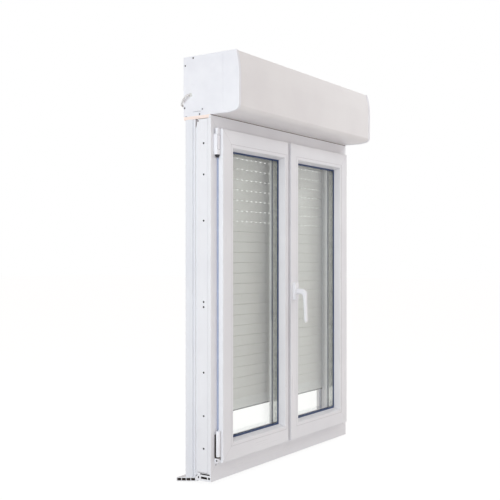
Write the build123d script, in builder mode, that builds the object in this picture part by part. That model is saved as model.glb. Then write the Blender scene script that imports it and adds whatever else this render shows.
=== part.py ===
from build123d import *
import math
import os

# A two-leaf inward-opening window with a roller-shutter box on top, in millimetres.
# X runs along the width, Y from the room side to the outside, Z up.
# The origin is under the middle of the sill, in the middle of the frame's depth.

# Window frame
unit_width = 1000.0
frame_height = 1250.0
frame_depth = 70.0
frame_face = 44.8
frame_leg_face = 64.8
frame_leg_depth = 22.0
frame_wall = 3.2
side_recess = 1.5
side_lip = 12.6
side_groove = 4.0
side_groove_width = 8.0
side_groove_edge = 1.5
frame_web_edge = 30.0
frame_edge_radius = 2.0
fixing_hole_radius = 3.0
fixing_hole_depth = 33.0
fixing_holes_from_foot = (86.0, 201.0, 354.0, 585.0)
fixing_holes_from_head = (88.0, 198.0, 361.0, 647.0)

# Seals on the frame
seal_gap = 0.3
face_seal_inset = 0.6
face_seal_edge = 2.0
stop_seal_inset = 1.0
stop_seal_edge = 3.0

# Sill profile
sill_height = 27.0
sill_body_depth = 60.0
sill_step_drop = 9.0
sill_hook_reach = 6.0
sill_hook_drop = 15.5
sill_top_wall = 1.5
sill_slot_height = 4.5
sill_slot_front = 5.5
sill_slot_rear = 13.5
sill_floor = 7.0
sill_cell_height = 7.5
sill_front_wall = 4.0
sill_front_cell = 8.7
sill_front_rib = 4.3
sill_rear_cell = 5.0
sill_rear_rib = 8.5
sill_nose_reach = 155.0
sill_nose_thickness = 14.0
sill_nose_slope = 8.0
sill_nose_setback = 3.0
sill_nose_top = 9.0
sill_nose_radius = 3.0
sill_wall = 2.5
sill_cells = 4

# Sashes
sash_proud = 25.6
sash_depth = 70.0
sash_overlap = 8.0
sash_wing = 20.0
sash_wing_thickness = 22.1
sash_face = 62.3
sash_wall = 3.0
sash_edge_radius = 2.5
glazing_rebate = 22.0
sash_leg_gap = 2.0
bead_flat = 12.5
bead_slope = 8.0
bead_height = 11.6
bead_recess = 0.4
bead_fit = 0.2
bead_mitre_gap = 0.15
bead_radius = 2.0
left_stile_lip = 30.2
left_stile_lip_recess = 18.0
right_stile_wing = 21.9
right_stile_wing_thickness = 14.0
right_stile_body = 20.0
leaf_gap = 12.0
meeting_line = 3.0
left_glass_edge_from_tip = 52.5
right_glass_edge_from_tip = 55.9

# Glass
pane_thickness = 4.0
pane_space = 20.0
glass_front_depth = 3.0
glass_edge_cover = 15.0
spacer_height = 12.0
spacer_inset = 1.0
gasket_height = 5.3
gasket_proud = 1.5

# Steel reinforcements
steel_wall = 1.5
steel_fit = 0.3
steel_end_gap = 70.0

# Hinges
hinge_from_edge = 28.5
hinge_proud = 10.5
hinge_block = 14.0
hinge_bracket_front = 4.0
hinge_barrel_radius = 7.5
hinge_arm_depth = 8.0
hinge_pin_radius = 3.0
pin_above_bracket_low = 6.0
pin_below_top_cap = 3.0
pin_above_foot = 2.0
pin_below_bottom_cap = 6.0
hinge_pin_clearance = 0.05
hinge_turn_clearance = 0.3
top_hinge_rise = 1.0
top_hinge_sleeve = 19.1
top_hinge_bracket = 72.1
bottom_hinge_rise = 1.2
bottom_hinge_bracket = 19.1
bottom_hinge_sleeve = 90.9

# Handle and lock
handle_height = 653.0
handle_from_stile_tip = 27.9
rosette_width = 28.0
rosette_height = 70.0
rosette_thickness = 12.0
rosette_taper = 3.0
round_end_flat = 0.5
neck_radius = 10.0
grip_standoff = 56.0
grip_thickness = 14.0
grip_width = 19.0
grip_length = 127.0
grip_above_pivot = 11.0
grip_edge_radius = 4.0
spindle_side = 7.0
spindle_end_gap = 2.0
spindle_hole_radius = 5.3
gearbox_height = 96.0
gearbox_depth = 19.0
gearbox_width = 12.8
pocket_fit = 0.2
lock_rod_end_gap = 68.0
lock_rod_width = 15.0
lock_rod_thickness = 3.0
lock_cam_radius = 4.0
lock_cam_reach = 5.3
lock_cam_from_end = 80.0
keep_length = 62.0
keep_base = 1.5
keep_lip = 4.5
keep_lip_thickness = 2.0
keep_reach = 9.0
cam_clearance = 1.2
lock_axis_depth = 7.4

# Guide rails and curtain
guide_width = 62.0
guide_depth = 43.0
guide_slot_width = 15.0
guide_slot_bottom = 25.0
guide_slot_offset = 22.0
guide_wall = 3.0
guide_recess = 4.0
guide_recess_depth = 12.0
guide_notch = 2.5
glide_strip_width = 6.0
glide_strip_inset = 4.0
curtain_clearance = 0.3
slat_pitch = 40.0
slat_thickness = 9.0
slat_wall = 1.2
slat_end_clearance = 5.0
slat_bulge = 0.8
slat_neck = 4.4
slat_neck_thickness = 2.0
slat_hook_thickness = 4.0
slat_hook_height = 1.6
slat_neck_root = 0.5
slat_pocket_room = 1.2
slat_play = 0.3
end_slat_height = 39.0
end_slat_thickness = 11.0
end_slat_band = 15.0
end_slat_step = 1.5
end_slat_floor = 4.0
end_slat_roof = 3.0
end_slat_wall = 1.5
end_seal_height = 5.0
end_seal_width = 9.0
curtain_bottom = 203.0

# Shutter box
seating_height = 11.0
box_height = 213.0
box_rear_depth = 122.0
box_belly = 121.0
box_belly_drop = 76.7
box_belly_draw = 0.8
box_front_top = 107.0
box_front_return = 14.0
box_front_shoulder = 115.0
box_shoulder_drop = 30.0
box_lower_corner = 20.0
box_chin_draw = 8.2
box_chin_rise = 10.0
box_lower_lip = 101.0
box_lip_rise = 4.0
box_hatch_edge = 74.0
hatch_gap = 0.5
panel_thickness = 6.0
panel_inset = 1.5
cap_thickness = 12.0
cap_plate = 4.0
cap_rim = 9.0
cap_line_depth = 51.0
cap_line_width = 0.8
cap_line_cut = 0.5
cap_line_low = 59.0
cap_line_margin = 2.0
seating_front = 2.0
funnel_height = 34.0
funnel_straight = 20.0
funnel_flare = 5.0
funnel_wall = 8.0
cap_screw_radius = 3.4
cap_screw_recess = 1.5
cap_screw_head = 2.0
cap_screw_length = 9.0
cap_screw_neck = 1.0
cap_screw_fit = 0.1
cap_screw_spots = ((79.0, 206.5), (115.0, 183.0), (117.5, 32.0), (50.5, 5.0), (79.0, 111.0))
clip_slot_spot = (36.0, 21.0)
clip_slot_size = 5.0
clip_slot_cut = 2.0
clip_line_gap = 8.0
clip_line_length = 35.0
clip_line_height = 16.0
clip_line_width = 1.0

# Shutter drive
axle_depth = 5.0
axle_above_box = 108.0
axle_flats = 60.0
axle_sides = 8
axle_wall = 1.2
motor_tube_radius = 22.5
motor_head_radius = 25.0
motor_head_length = 30.0
motor_length = 440.0
axle_end_gap = 2.0
motor_shaft_radius = 7.0
motor_shaft_length = 16.0
drive_clearance = 0.3
adaptor_width = 12.0
bracket_side = 96.0
bracket_thickness = 4.0
bearing_boss_radius = 15.0
idler_pin_radius = 6.0
bearing_length = 16.0
plug_length = 40.0
strap_width = 30.0
strap_thickness = 0.8
strap_count = 3
strap_spacing = 320.0
strap_hold = 10.0
strap_lift_off = 11.0
strap_bend_out = 62.0
strap_bend_up = 44.0
strap_lead = 12.0

# Motor cable
cable_diameter = 6.5
cable_exit_depth = 91.0
cable_exit_height = 76.0
grommet_radius = 7.5
grommet_flange = 1.5
coil_from_edge = 100.0
coil_above_box = 87.0
coil_mean_radius = 38.5
coil_turns = 9.5
coil_layers = 4
coil_pitch = 7.0
coil_wall_gap = 0.3
climb_half = 0.25
radius_share = 0.45
coil_samples = 1200
neighbour_samples = 70

# How far a cut runs past the face that it cuts
cut_past = 1.0

# Values that follow from the sizes above
half_width = unit_width / 2
room_y = -frame_depth / 2
frame_low = sill_height
frame_high = sill_height + frame_height
leg_front = frame_depth - frame_leg_depth
sill_nose_start = sill_body_depth + sill_nose_setback
sill_hook_depth = sill_body_depth + sill_hook_reach
frame_ring = (-half_width, half_width, frame_low, frame_high)
sash_edge = frame_face - sash_overlap
sash_low = frame_low + sash_edge
sash_high = frame_high - sash_edge
sash_back = sash_depth - sash_proud
wing_back = sash_wing_thickness - sash_proud
glass_line = sash_face + bead_slope
rebate_base = glass_line - glazing_rebate
bead_line = sash_face - bead_flat
bead_seat = bead_height - sash_proud
pane_back = glass_front_depth + 2 * pane_thickness + pane_space
sash_leg_front = pane_back + glass_front_depth
sash_leg_edge = glass_line - sash_leg_gap
left_tip = meeting_line
right_tip = meeting_line + leaf_gap - right_stile_wing
left_sash_x = -half_width + sash_edge
right_sash_x = half_width - sash_edge
left_glass = (left_sash_x + sash_face, left_tip - left_glass_edge_from_tip)
right_glass = (right_tip + right_glass_edge_from_tip, right_sash_x - sash_face)
slot_centre = frame_depth + guide_slot_offset
box_bottom = frame_high + seating_height
box_top = box_bottom + box_height
axle_z = box_bottom + axle_above_box
slats_low = curtain_bottom + end_seal_height + end_slat_height
slat_room = box_top - panel_inset - panel_thickness - slat_neck - slats_low
slat_count = int(slat_room / slat_pitch)
top_hinge_high = sash_high + top_hinge_rise
top_hinge_joint = top_hinge_high - top_hinge_sleeve
top_hinge_low = top_hinge_joint - top_hinge_bracket
bottom_hinge_low = sash_low + bottom_hinge_rise
bottom_hinge_joint = bottom_hinge_low + bottom_hinge_bracket
bottom_hinge_high = bottom_hinge_joint + bottom_hinge_sleeve
lock_rod_low = sash_low + lock_rod_end_gap
lock_rod_high = sash_high - lock_rod_end_gap
lock_cam_heights = (lock_rod_low + lock_cam_from_end, handle_height, lock_rod_high - lock_cam_from_end)
cap_inner_x = half_width - cap_thickness
plate_inner_x = half_width - cap_plate


def nearest_corner(sketch, x, y):
    """The corner of a sketch nearest to a point in the sketch's own axes."""
    return sketch.vertices().sort_by_distance(Vector(x, y, 0))[0]


def upright_plane(x_position, depth_position=0.0):
    """A plane across the width: its own x is depth from the room side, its own y is height."""
    return Plane(origin=(x_position, room_y + depth_position, 0), x_dir=(0, 1, 0), z_dir=(1, 0, 0))


def level_plane(x_edge, inward, height):
    """A level plane: its own x runs inward from an edge, its own y is depth from the room side."""
    return Plane(origin=(x_edge, room_y, height), x_dir=(inward, 0, 0), z_dir=(0, 0, inward))


def box_between(x_low, x_high, depth_low, depth_high, z_low, z_high, mode=Mode.ADD):
    """A block between two depths from the room side, in the part that is being built."""
    with Locations(
        ((x_low + x_high) / 2, room_y + (depth_low + depth_high) / 2, (z_low + z_high) / 2)
    ):
        Box(x_high - x_low, depth_high - depth_low, z_high - z_low, mode=mode)


def profile(outline, hollows=(), rounds=()):
    """A face with a closed outline, rounded corners and rectangular chambers."""
    with BuildSketch(Plane.XY) as face:
        with BuildLine():
            Polyline(*outline, close=True)
        make_face()
        for x, y, radius in rounds:
            fillet(nearest_corner(face, x, y), radius)
        for x_low, y_low, x_high, y_high in hollows:
            with Locations(((x_low + x_high) / 2, (y_low + y_high) / 2)):
                Rectangle(x_high - x_low, y_high - y_low, mode=Mode.SUBTRACT)
    return face.sketch


def ring_bar(side, ring, outline, hollows=(), rounds=(), mitres=(-1, 1), end_gap=0.0):
    """One bar of a rectangular ring; the outline is in distances inward and in depth."""
    x_low, x_high, z_low, z_high = ring
    x_middle = (x_low + x_high) / 2
    z_middle = (z_low + z_high) / 2
    inward, start, half_length = {
        "left": (Vector(1, 0, 0), Vector(x_low, room_y, z_middle), (z_high - z_low) / 2),
        "right": (Vector(-1, 0, 0), Vector(x_high, room_y, z_middle), (z_high - z_low) / 2),
        "bottom": (Vector(0, 0, 1), Vector(x_middle, room_y, z_low), (x_high - x_low) / 2),
        "top": (Vector(0, 0, -1), Vector(x_middle, room_y, z_high), (x_high - x_low) / 2),
    }[side]
    along = inward.cross(Vector(0, 1, 0))
    with BuildPart() as bar:
        with BuildSketch(Plane(origin=start, x_dir=inward, z_dir=along)):
            add(profile(outline, hollows, rounds))
        extrude(amount=half_length, both=True)
        for end in mitres:
            corner = start + along * (end * (half_length - end_gap))
            split(bisect_by=Plane(origin=corner, z_dir=along * end + inward), keep=Keep.BOTTOM)
    return bar.part


def export(part, name):
    """Label a finished piece and write it to its own file."""
    part.label = name
    export_step(part, f"parts/{name}.step")


os.makedirs("parts", exist_ok=True)

# Frame bars: an L-shaped profile with a recessed outer side and four chambers
groove_low = frame_depth - side_groove_edge - side_groove_width
frame_outline = [
    (0, 0),
    (frame_face, 0),
    (frame_face, leg_front),
    (frame_leg_face, leg_front),
    (frame_leg_face, frame_depth),
    (0, frame_depth),
    (0, groove_low + side_groove_width),
    (side_groove, groove_low + side_groove_width),
    (side_groove, groove_low),
    (side_recess, groove_low),
    (side_recess, side_lip),
    (0, side_lip),
]
chamber_low = side_groove + frame_wall
main_chamber = (side_recess + frame_wall, side_lip + frame_wall, frame_face - frame_wall,
                leg_front - frame_wall)
frame_hollows = [
    (frame_wall, frame_wall, frame_face - frame_wall, side_lip - frame_wall / 2),
    main_chamber,
    (chamber_low, leg_front + frame_wall, frame_web_edge, frame_depth - frame_wall),
    (frame_web_edge + frame_wall, leg_front + frame_wall, frame_leg_face - frame_wall,
     frame_depth - frame_wall),
]
frame_rounds = [(frame_leg_face, edge, frame_edge_radius) for edge in (leg_front, frame_depth)]

frame_names = {"left": "frame_left_jamb", "right": "frame_right_jamb", "top": "frame_head",
               "bottom": "frame_bottom_bar"}
drilled = side_recess + frame_wall + steel_fit + steel_wall + cut_past


def drill_jamb(outer_x):
    """Cut the fixing holes of one jamb, through its outer wall and the steel behind it."""
    low_holes = [frame_low + height for height in fixing_holes_from_foot]
    high_holes = [frame_high - height for height in fixing_holes_from_head]
    for height in low_holes + high_holes:
        with Locations(Location((outer_x, room_y + fixing_hole_depth, height), (0, 90, 0))):
            Cylinder(fixing_hole_radius, 2 * drilled, mode=Mode.SUBTRACT)


for side, node in frame_names.items():
    with BuildPart() as frame_bar:
        add(ring_bar(side, frame_ring, frame_outline, frame_hollows, frame_rounds))
        if side in ("left", "right"):
            drill_jamb(-half_width if side == "left" else half_width)
    export(frame_bar.part, node)


def box_tube(low_x, low_y, high_x, high_y, fit):
    """Outline and hollow of a steel box tube that sits in a chamber with a fit all round."""
    x_low, y_low, x_high, y_high = low_x + fit, low_y + fit, high_x - fit, high_y - fit
    outline = [(x_low, y_low), (x_high, y_low), (x_high, y_high), (x_low, y_high)]
    return outline, [(x_low + steel_wall, y_low + steel_wall, x_high - steel_wall, y_high - steel_wall)]


steel_outline, steel_hollow = box_tube(*main_chamber, fit=steel_fit)
with BuildPart() as frame_reinforcements:
    for side in frame_names:
        add(ring_bar(side, frame_ring, steel_outline, steel_hollow, end_gap=steel_end_gap))
    drill_jamb(-half_width)
    drill_jamb(half_width)
export(frame_reinforcements.part, "frame_reinforcements")


def ring_gasket(ring, inner, outer, depth_low, depth_high):
    """A closed rectangular gasket, between two distances inward from a ring's outer edges."""
    x_low, x_high, z_low, z_high = ring
    with BuildPart() as gasket:
        box_between(x_low + inner, x_high - inner, depth_low, depth_high, z_low + inner, z_high - inner)
        box_between(x_low + outer, x_high - outer, depth_low - cut_past, depth_high + cut_past,
                    z_low + outer, z_high - outer, mode=Mode.SUBTRACT)
    return gasket.part


with BuildPart() as frame_seal:
    add(ring_gasket(frame_ring, sash_edge + face_seal_inset, frame_face - face_seal_edge,
                    wing_back + seal_gap, 0.0))
    add(ring_gasket(frame_ring, sash_edge + sash_wing + stop_seal_inset, frame_leg_face - stop_seal_edge,
                    sash_back + seal_gap, leg_front))
export(frame_seal.part, "frame_seal")

# Sill: a chambered body under the frame and a sloped nose outside, open at both cut ends
nose_drop = math.tan(math.radians(sill_nose_slope))
nose_end_z = sill_nose_top - nose_drop * (sill_nose_reach - sill_nose_start)
nose_under_z = sill_nose_top - sill_nose_thickness


def nose_top_z(depth):
    """Height of the nose's top face at a depth from the room side."""
    return sill_nose_top - nose_drop * (depth - sill_nose_start)


sill_outline = [
    (0, 0),
    (0, sill_height),
    (sill_body_depth, sill_height),
    (sill_body_depth, sill_height - sill_step_drop),
    (sill_hook_depth, sill_height - sill_hook_drop),
    (sill_hook_depth, nose_top_z(sill_hook_depth)),
    (sill_nose_reach, nose_end_z),
    (sill_nose_reach, nose_end_z - sill_nose_thickness),
    (sill_nose_start, nose_under_z),
    (sill_body_depth, 0),
]
sill_slot_low = sill_height - sill_top_wall - sill_slot_height
front_cell_edge = sill_front_wall + sill_front_cell
rear_cell_edge = sill_body_depth - sill_wall - sill_rear_cell
sill_cell_high = sill_floor + sill_cell_height
sill_hollows = [
    (sill_slot_front, sill_slot_low, sill_body_depth - sill_slot_rear, sill_height - sill_top_wall),
    (sill_front_wall, sill_floor, front_cell_edge, sill_cell_high),
    (front_cell_edge + sill_front_rib, sill_floor, rear_cell_edge - sill_rear_rib, sill_cell_high),
    (rear_cell_edge, sill_floor, sill_body_depth - sill_wall, sill_cell_high),
]
with BuildPart() as sill:
    with BuildSketch(upright_plane(-half_width)):
        add(profile(sill_outline, sill_hollows, [
            (sill_nose_reach, nose_end_z, sill_nose_radius),
            (sill_nose_reach, nose_end_z - sill_nose_thickness, sill_nose_radius),
        ]))
        cell_pitch = (sill_nose_reach - sill_hook_depth - 2 * sill_wall) / sill_cells
        for cell in range(sill_cells):
            middle = sill_hook_depth + sill_wall + cell_pitch * (cell + 0.5)
            cell_z = nose_top_z(middle) - sill_nose_thickness / 2
            with Locations(Location((middle, cell_z), -sill_nose_slope)):
                Rectangle(cell_pitch - sill_wall, sill_nose_thickness - 2 * sill_wall, mode=Mode.SUBTRACT)
    extrude(amount=unit_width)
export(sill.part, "sill")

# Guide rails: chambered profiles with a slot for the curtain, cut to the slope of the nose
slot_low = slot_centre - guide_slot_width / 2
slot_high = slot_centre + guide_slot_width / 2
guide_back = frame_depth + guide_depth
guide_outline = [
    (guide_recess, frame_depth),
    (guide_width, frame_depth),
    (guide_width, slot_low),
    (guide_slot_bottom, slot_low),
    (guide_slot_bottom, slot_high),
    (guide_width, slot_high),
    (guide_width, guide_back),
    (0, guide_back),
    (0, frame_depth + guide_recess_depth),
    (guide_recess / 2, frame_depth + guide_recess_depth),
    (guide_recess / 2, frame_depth + guide_recess_depth - guide_notch),
    (guide_recess, frame_depth + guide_recess_depth - guide_notch),
]
guide_hollows = [
    (guide_recess + guide_wall, frame_depth + guide_wall, guide_slot_bottom - guide_wall,
     guide_back - guide_wall),
    (guide_slot_bottom + guide_wall, frame_depth + guide_wall, guide_width - guide_wall,
     slot_low - guide_wall),
    (guide_slot_bottom + guide_wall, slot_high + guide_wall, guide_width - guide_wall,
     guide_back - guide_wall),
]
nose_plane = Plane(
    origin=(0, room_y + sill_nose_start, sill_nose_top),
    x_dir=(1, 0, 0),
    z_dir=(0, math.sin(math.radians(sill_nose_slope)), math.cos(math.radians(sill_nose_slope))),
)
for side, inward in (("left", 1), ("right", -1)):
    with BuildPart() as guide_rail:
        with BuildSketch(level_plane(-inward * half_width, inward, 0)):
            add(profile(guide_outline, guide_hollows))
        extrude(amount=frame_high * inward)
        with BuildSketch(level_plane(-inward * half_width, inward, 0)):
            add(profile(guide_outline, guide_hollows))
        extrude(amount=-sill_nose_thickness * inward)
        split(bisect_by=nose_plane, keep=Keep.TOP)
    export(guide_rail.part, f"{side}_guide_rail")

strip_thickness = (guide_slot_width - end_slat_thickness) / 2 - curtain_clearance
strip_out = guide_width - glide_strip_inset
with BuildPart() as glide_strips:
    for inward in (1, -1):
        strip_x = -inward * (half_width - strip_out)
        edges = sorted((strip_x, strip_x - inward * glide_strip_width))
        box_between(*edges, slot_low, slot_low + strip_thickness, sill_height, frame_high)
        box_between(*edges, slot_high - strip_thickness, slot_high, sill_height, frame_high)
export(glide_strips.part, "guide_glide_strips")

# Seating strip between the frame and the box, open where the curtain passes
slot_half_x = half_width - guide_slot_bottom
with BuildPart() as seating_strip:
    box_between(-half_width, half_width, seating_front, box_rear_depth - panel_inset, frame_high, box_bottom)
    box_between(-slot_half_x, slot_half_x, slot_low, slot_high, frame_high - cut_past,
                box_bottom + cut_past, mode=Mode.SUBTRACT)
export(seating_strip.part, "seating_strip")


def box_section(inset):
    """Outer outline of the shutter box, drawn in depth and height, set in by a distance."""
    with BuildSketch(Plane.XY) as section:
        with BuildLine():
            lower = box_bottom + box_lower_corner
            rear = Line((box_rear_depth, box_bottom), (box_rear_depth, box_top))
            roof = Line(rear @ 1, (-box_front_top, box_top))
            brow = ThreePointArc(roof @ 1, (-box_front_shoulder, box_top - box_shoulder_drop),
                                 (-box_belly, box_top - box_belly_drop))
            belly = Line(brow @ 1, (-box_belly + box_belly_draw, lower))
            chin = ThreePointArc(belly @ 1, (-box_belly + box_chin_draw, box_bottom + box_chin_rise),
                                 (-box_lower_lip, box_bottom + box_lip_rise))
            lip = Line(chin @ 1, (-box_hatch_edge, box_bottom))
            Line(lip @ 1, rear @ 0)
        make_face()
        if inset > 0:
            offset(amount=-inset, kind=Kind.INTERSECTION)
    return section.sketch


# Panels of the box: slices of one shell, between the two end caps
def box_panel(depth_low, depth_high, z_low, z_high):
    """The part of the box's shell inside a rectangle of depth and height."""
    with BuildPart() as panel:
        with BuildSketch(upright_plane(-cap_inner_x)):
            add(box_section(panel_inset))
            add(box_section(panel_inset + panel_thickness), mode=Mode.SUBTRACT)
            with Locations(((depth_low + depth_high) / 2, (z_low + z_high) / 2)):
                Rectangle(depth_high - depth_low, z_high - z_low, mode=Mode.INTERSECT)
        extrude(amount=2 * cap_inner_x)
    return panel.part


front_return = box_front_top - box_front_return
top_inner = box_top - panel_inset - panel_thickness
rear_inner = box_rear_depth - panel_inset - panel_thickness
with BuildPart() as box_front_panel:
    add(box_panel(-box_belly - cut_past, -box_hatch_edge, box_bottom, box_top))
    box_between(-half_width, half_width, -front_return, 0, top_inner - cut_past, box_top + cut_past,
                mode=Mode.SUBTRACT)
export(box_front_panel.part, "box_front_panel")

export(box_panel(-front_return, rear_inner, top_inner, box_top), "box_top_panel")
export(box_panel(-box_hatch_edge, -hatch_gap, box_bottom, box_bottom + 2 * panel_thickness), "box_hatch")

with BuildPart() as box_rear_panel:
    add(box_panel(rear_inner, box_rear_depth, box_bottom, box_top))
    box_between(-cap_inner_x, cap_inner_x, 0, box_rear_depth - panel_inset, box_bottom,
                box_bottom + panel_thickness)
    box_between(-slot_half_x, slot_half_x, slot_low, slot_high, box_bottom - cut_past,
                box_bottom + panel_thickness + cut_past, mode=Mode.SUBTRACT)
export(box_rear_panel.part, "box_rear_panel")

# End caps with a rim for the panels, screw recesses and the cable hole on the left one
cable_z = box_bottom + cable_exit_height
for side, inward in (("left", 1), ("right", -1)):
    outer_x = -inward * half_width
    with BuildPart() as end_cap:
        with BuildSketch(upright_plane(outer_x)):
            add(box_section(0))
        extrude(amount=cap_thickness * inward)
        with BuildSketch(upright_plane(outer_x + inward * cap_plate)):
            add(box_section(cap_rim))
        extrude(amount=cap_thickness * inward, mode=Mode.SUBTRACT)
        for depth, height in cap_screw_spots:
            spot = Location((outer_x, room_y + depth, box_bottom + height), (0, 90 * inward, 0))
            with Locations(spot):
                Cylinder(cap_screw_radius + cap_screw_fit, 2 * (cap_screw_recess + cap_screw_head),
                         mode=Mode.SUBTRACT)
                Cylinder(cap_screw_radius / 2 + cap_screw_fit, 2 * cap_thickness, mode=Mode.SUBTRACT)
        line_x = sorted((outer_x, outer_x + inward * cap_line_cut))
        box_between(*line_x, -cap_line_depth - cap_line_width / 2, -cap_line_depth + cap_line_width / 2,
                    box_bottom + cap_line_low, box_top - cap_line_margin, mode=Mode.SUBTRACT)
        slot_front, slot_height = clip_slot_spot
        line_front = slot_front + clip_line_gap
        line_height = box_bottom + clip_line_height
        box_between(*line_x, line_front, line_front + clip_line_length, line_height - clip_line_width / 2,
                    line_height + clip_line_width / 2, mode=Mode.SUBTRACT)
        slot_x = sorted((outer_x, outer_x + inward * clip_slot_cut))
        box_between(*slot_x, slot_front, slot_front + clip_slot_size,
                    box_bottom + slot_height - clip_slot_size / 2,
                    box_bottom + slot_height + clip_slot_size / 2, mode=Mode.SUBTRACT)
        if side == "left":
            with Locations(Location((outer_x, room_y + cable_exit_depth, cable_z), (0, 90, 0))):
                Cylinder(grommet_radius - grommet_flange, 4 * cap_thickness, mode=Mode.SUBTRACT)
    export(end_cap.part, f"{side}_end_cap")

with BuildPart() as end_cap_screws:
    for inward in (1, -1):
        outer_x = -inward * half_width
        for depth, height in cap_screw_spots:
            turn = (0, 90 * inward, 0)
            head_x = outer_x + inward * (cap_screw_recess + cap_screw_head / 2)
            shank_x = outer_x + inward * (cap_screw_recess + cap_screw_neck + cap_screw_length / 2)
            with Locations(Location((head_x, room_y + depth, box_bottom + height), turn)):
                Cylinder(cap_screw_radius, cap_screw_head)
            with Locations(Location((shank_x, room_y + depth, box_bottom + height), turn)):
                Cylinder(cap_screw_radius / 2, cap_screw_length)
export(end_cap_screws.part, "end_cap_screws")

# Funnels that lead the curtain from the axle into the guides
with BuildPart() as guide_funnels:
    for inward in (1, -1):
        edges = sorted((-inward * cap_inner_x, -inward * (half_width - guide_width)))
        base = box_bottom + panel_thickness
        with BuildSketch(upright_plane(edges[0])):
            add(profile([
                (slot_low - funnel_wall, base),
                (slot_low, base),
                (slot_low, base + funnel_straight),
                (slot_low - funnel_flare, base + funnel_height),
                (slot_low - funnel_wall, base + funnel_height),
            ]))
            add(profile([
                (slot_high, base),
                (slot_high + funnel_wall, base),
                (slot_high + funnel_wall, base + funnel_height),
                (slot_high + funnel_flare, base + funnel_height),
                (slot_high, base + funnel_straight),
            ]))
        extrude(amount=edges[1] - edges[0])
        web = sorted((-inward * cap_inner_x, -inward * slot_half_x))
        box_between(*web, slot_low - funnel_wall, slot_high + funnel_wall, base, base + funnel_height)
export(guide_funnels.part, "guide_funnels")

# Drive: motor in the axle tube, held by brackets on the end caps
for node, inward in (("motor_bracket", 1), ("bearing_bracket", -1)):
    plate_x = -inward * plate_inner_x
    with BuildPart() as bracket:
        edges = sorted((plate_x, plate_x + inward * bracket_thickness))
        box_between(*edges, axle_depth - bracket_side / 2, axle_depth + bracket_side / 2,
                    axle_z - bracket_side / 2, axle_z + bracket_side / 2)
        if node == "bearing_bracket":
            face = Plane(origin=(edges[0], room_y + axle_depth, axle_z), z_dir=(-1, 0, 0))
            with BuildSketch(face):
                Circle(bearing_boss_radius)
            extrude(amount=bearing_length)
            with BuildSketch(face.offset(bearing_length)):
                Circle(idler_pin_radius + drive_clearance)
            extrude(amount=-bearing_length, mode=Mode.SUBTRACT)
    export(bracket.part, node)

motor_plane = Plane(origin=(-plate_inner_x + bracket_thickness, room_y + axle_depth, axle_z), z_dir=(1, 0, 0))
with BuildPart() as motor:
    with BuildSketch(motor_plane):
        Circle(motor_head_radius)
    extrude(amount=motor_head_length)
    with BuildSketch(motor_plane.offset(motor_head_length)):
        Circle(motor_tube_radius)
    extrude(amount=motor_length)
    with BuildSketch(motor_plane.offset(motor_head_length + motor_length)):
        Circle(motor_shaft_radius)
    extrude(amount=motor_shaft_length)
export(motor.part, "motor")



def axle_face(inset):
    """The octagon of the axle, with a flat on top, set in by a wall."""
    with BuildSketch(Plane.XY) as face:
        RegularPolygon(axle_flats / 2 - inset, axle_sides, major_radius=False, rotation=180 / axle_sides)
    return face.sketch


axle_start = motor_head_length + axle_end_gap
idler_face = plate_inner_x - bracket_thickness - bearing_length
axle_end = plate_inner_x + idler_face - bracket_thickness - axle_end_gap
with BuildPart() as axle_tube:
    with BuildSketch(motor_plane.offset(axle_start)):
        add(axle_face(0))
        add(axle_face(axle_wall), mode=Mode.SUBTRACT)
    extrude(amount=axle_end - axle_start)
export(axle_tube.part, "axle_tube")

with BuildPart() as drive_adaptors:
    with BuildSketch(motor_plane.offset(axle_start)):
        add(axle_face(axle_wall))
        Circle(motor_tube_radius + drive_clearance, mode=Mode.SUBTRACT)
    extrude(amount=adaptor_width)
    with BuildSketch(motor_plane.offset(motor_head_length + motor_length + drive_clearance)):
        add(axle_face(axle_wall))
        Circle(motor_shaft_radius + drive_clearance, mode=Mode.SUBTRACT)
    extrude(amount=adaptor_width)
export(drive_adaptors.part, "drive_adaptors")

with BuildPart() as idler_plug:
    with BuildSketch(motor_plane.offset(axle_end - plug_length)):
        add(axle_face(axle_wall))
    extrude(amount=plug_length)
    with BuildSketch(motor_plane.offset(axle_end)):
        Circle(idler_pin_radius)
    extrude(amount=bearing_length)
export(idler_plug.part, "idler_plug")

# Curtain: hollow slats, each hooked over the neck of the one below
slat_half_x = half_width - guide_slot_bottom - slat_end_clearance
slat_body = slat_pitch - slat_play
half_thickness = slat_thickness / 2
pocket_half = slat_hook_thickness / 2 + slat_play
mouth_half = slat_neck_thickness / 2 + slat_play
pocket_high = slat_neck + slat_pocket_room


def neck(centre, base):
    """The T-shaped neck on top of a slat."""
    hook_low = base + slat_neck - slat_hook_height
    return profile([
        (centre - slat_neck_thickness / 2, base - slat_neck_root),
        (centre + slat_neck_thickness / 2, base - slat_neck_root),
        (centre + slat_neck_thickness / 2, hook_low),
        (centre + slat_hook_thickness / 2, hook_low),
        (centre + slat_hook_thickness / 2, base + slat_neck),
        (centre - slat_hook_thickness / 2, base + slat_neck),
        (centre - slat_hook_thickness / 2, hook_low),
        (centre - slat_neck_thickness / 2, hook_low),
    ])


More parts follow.
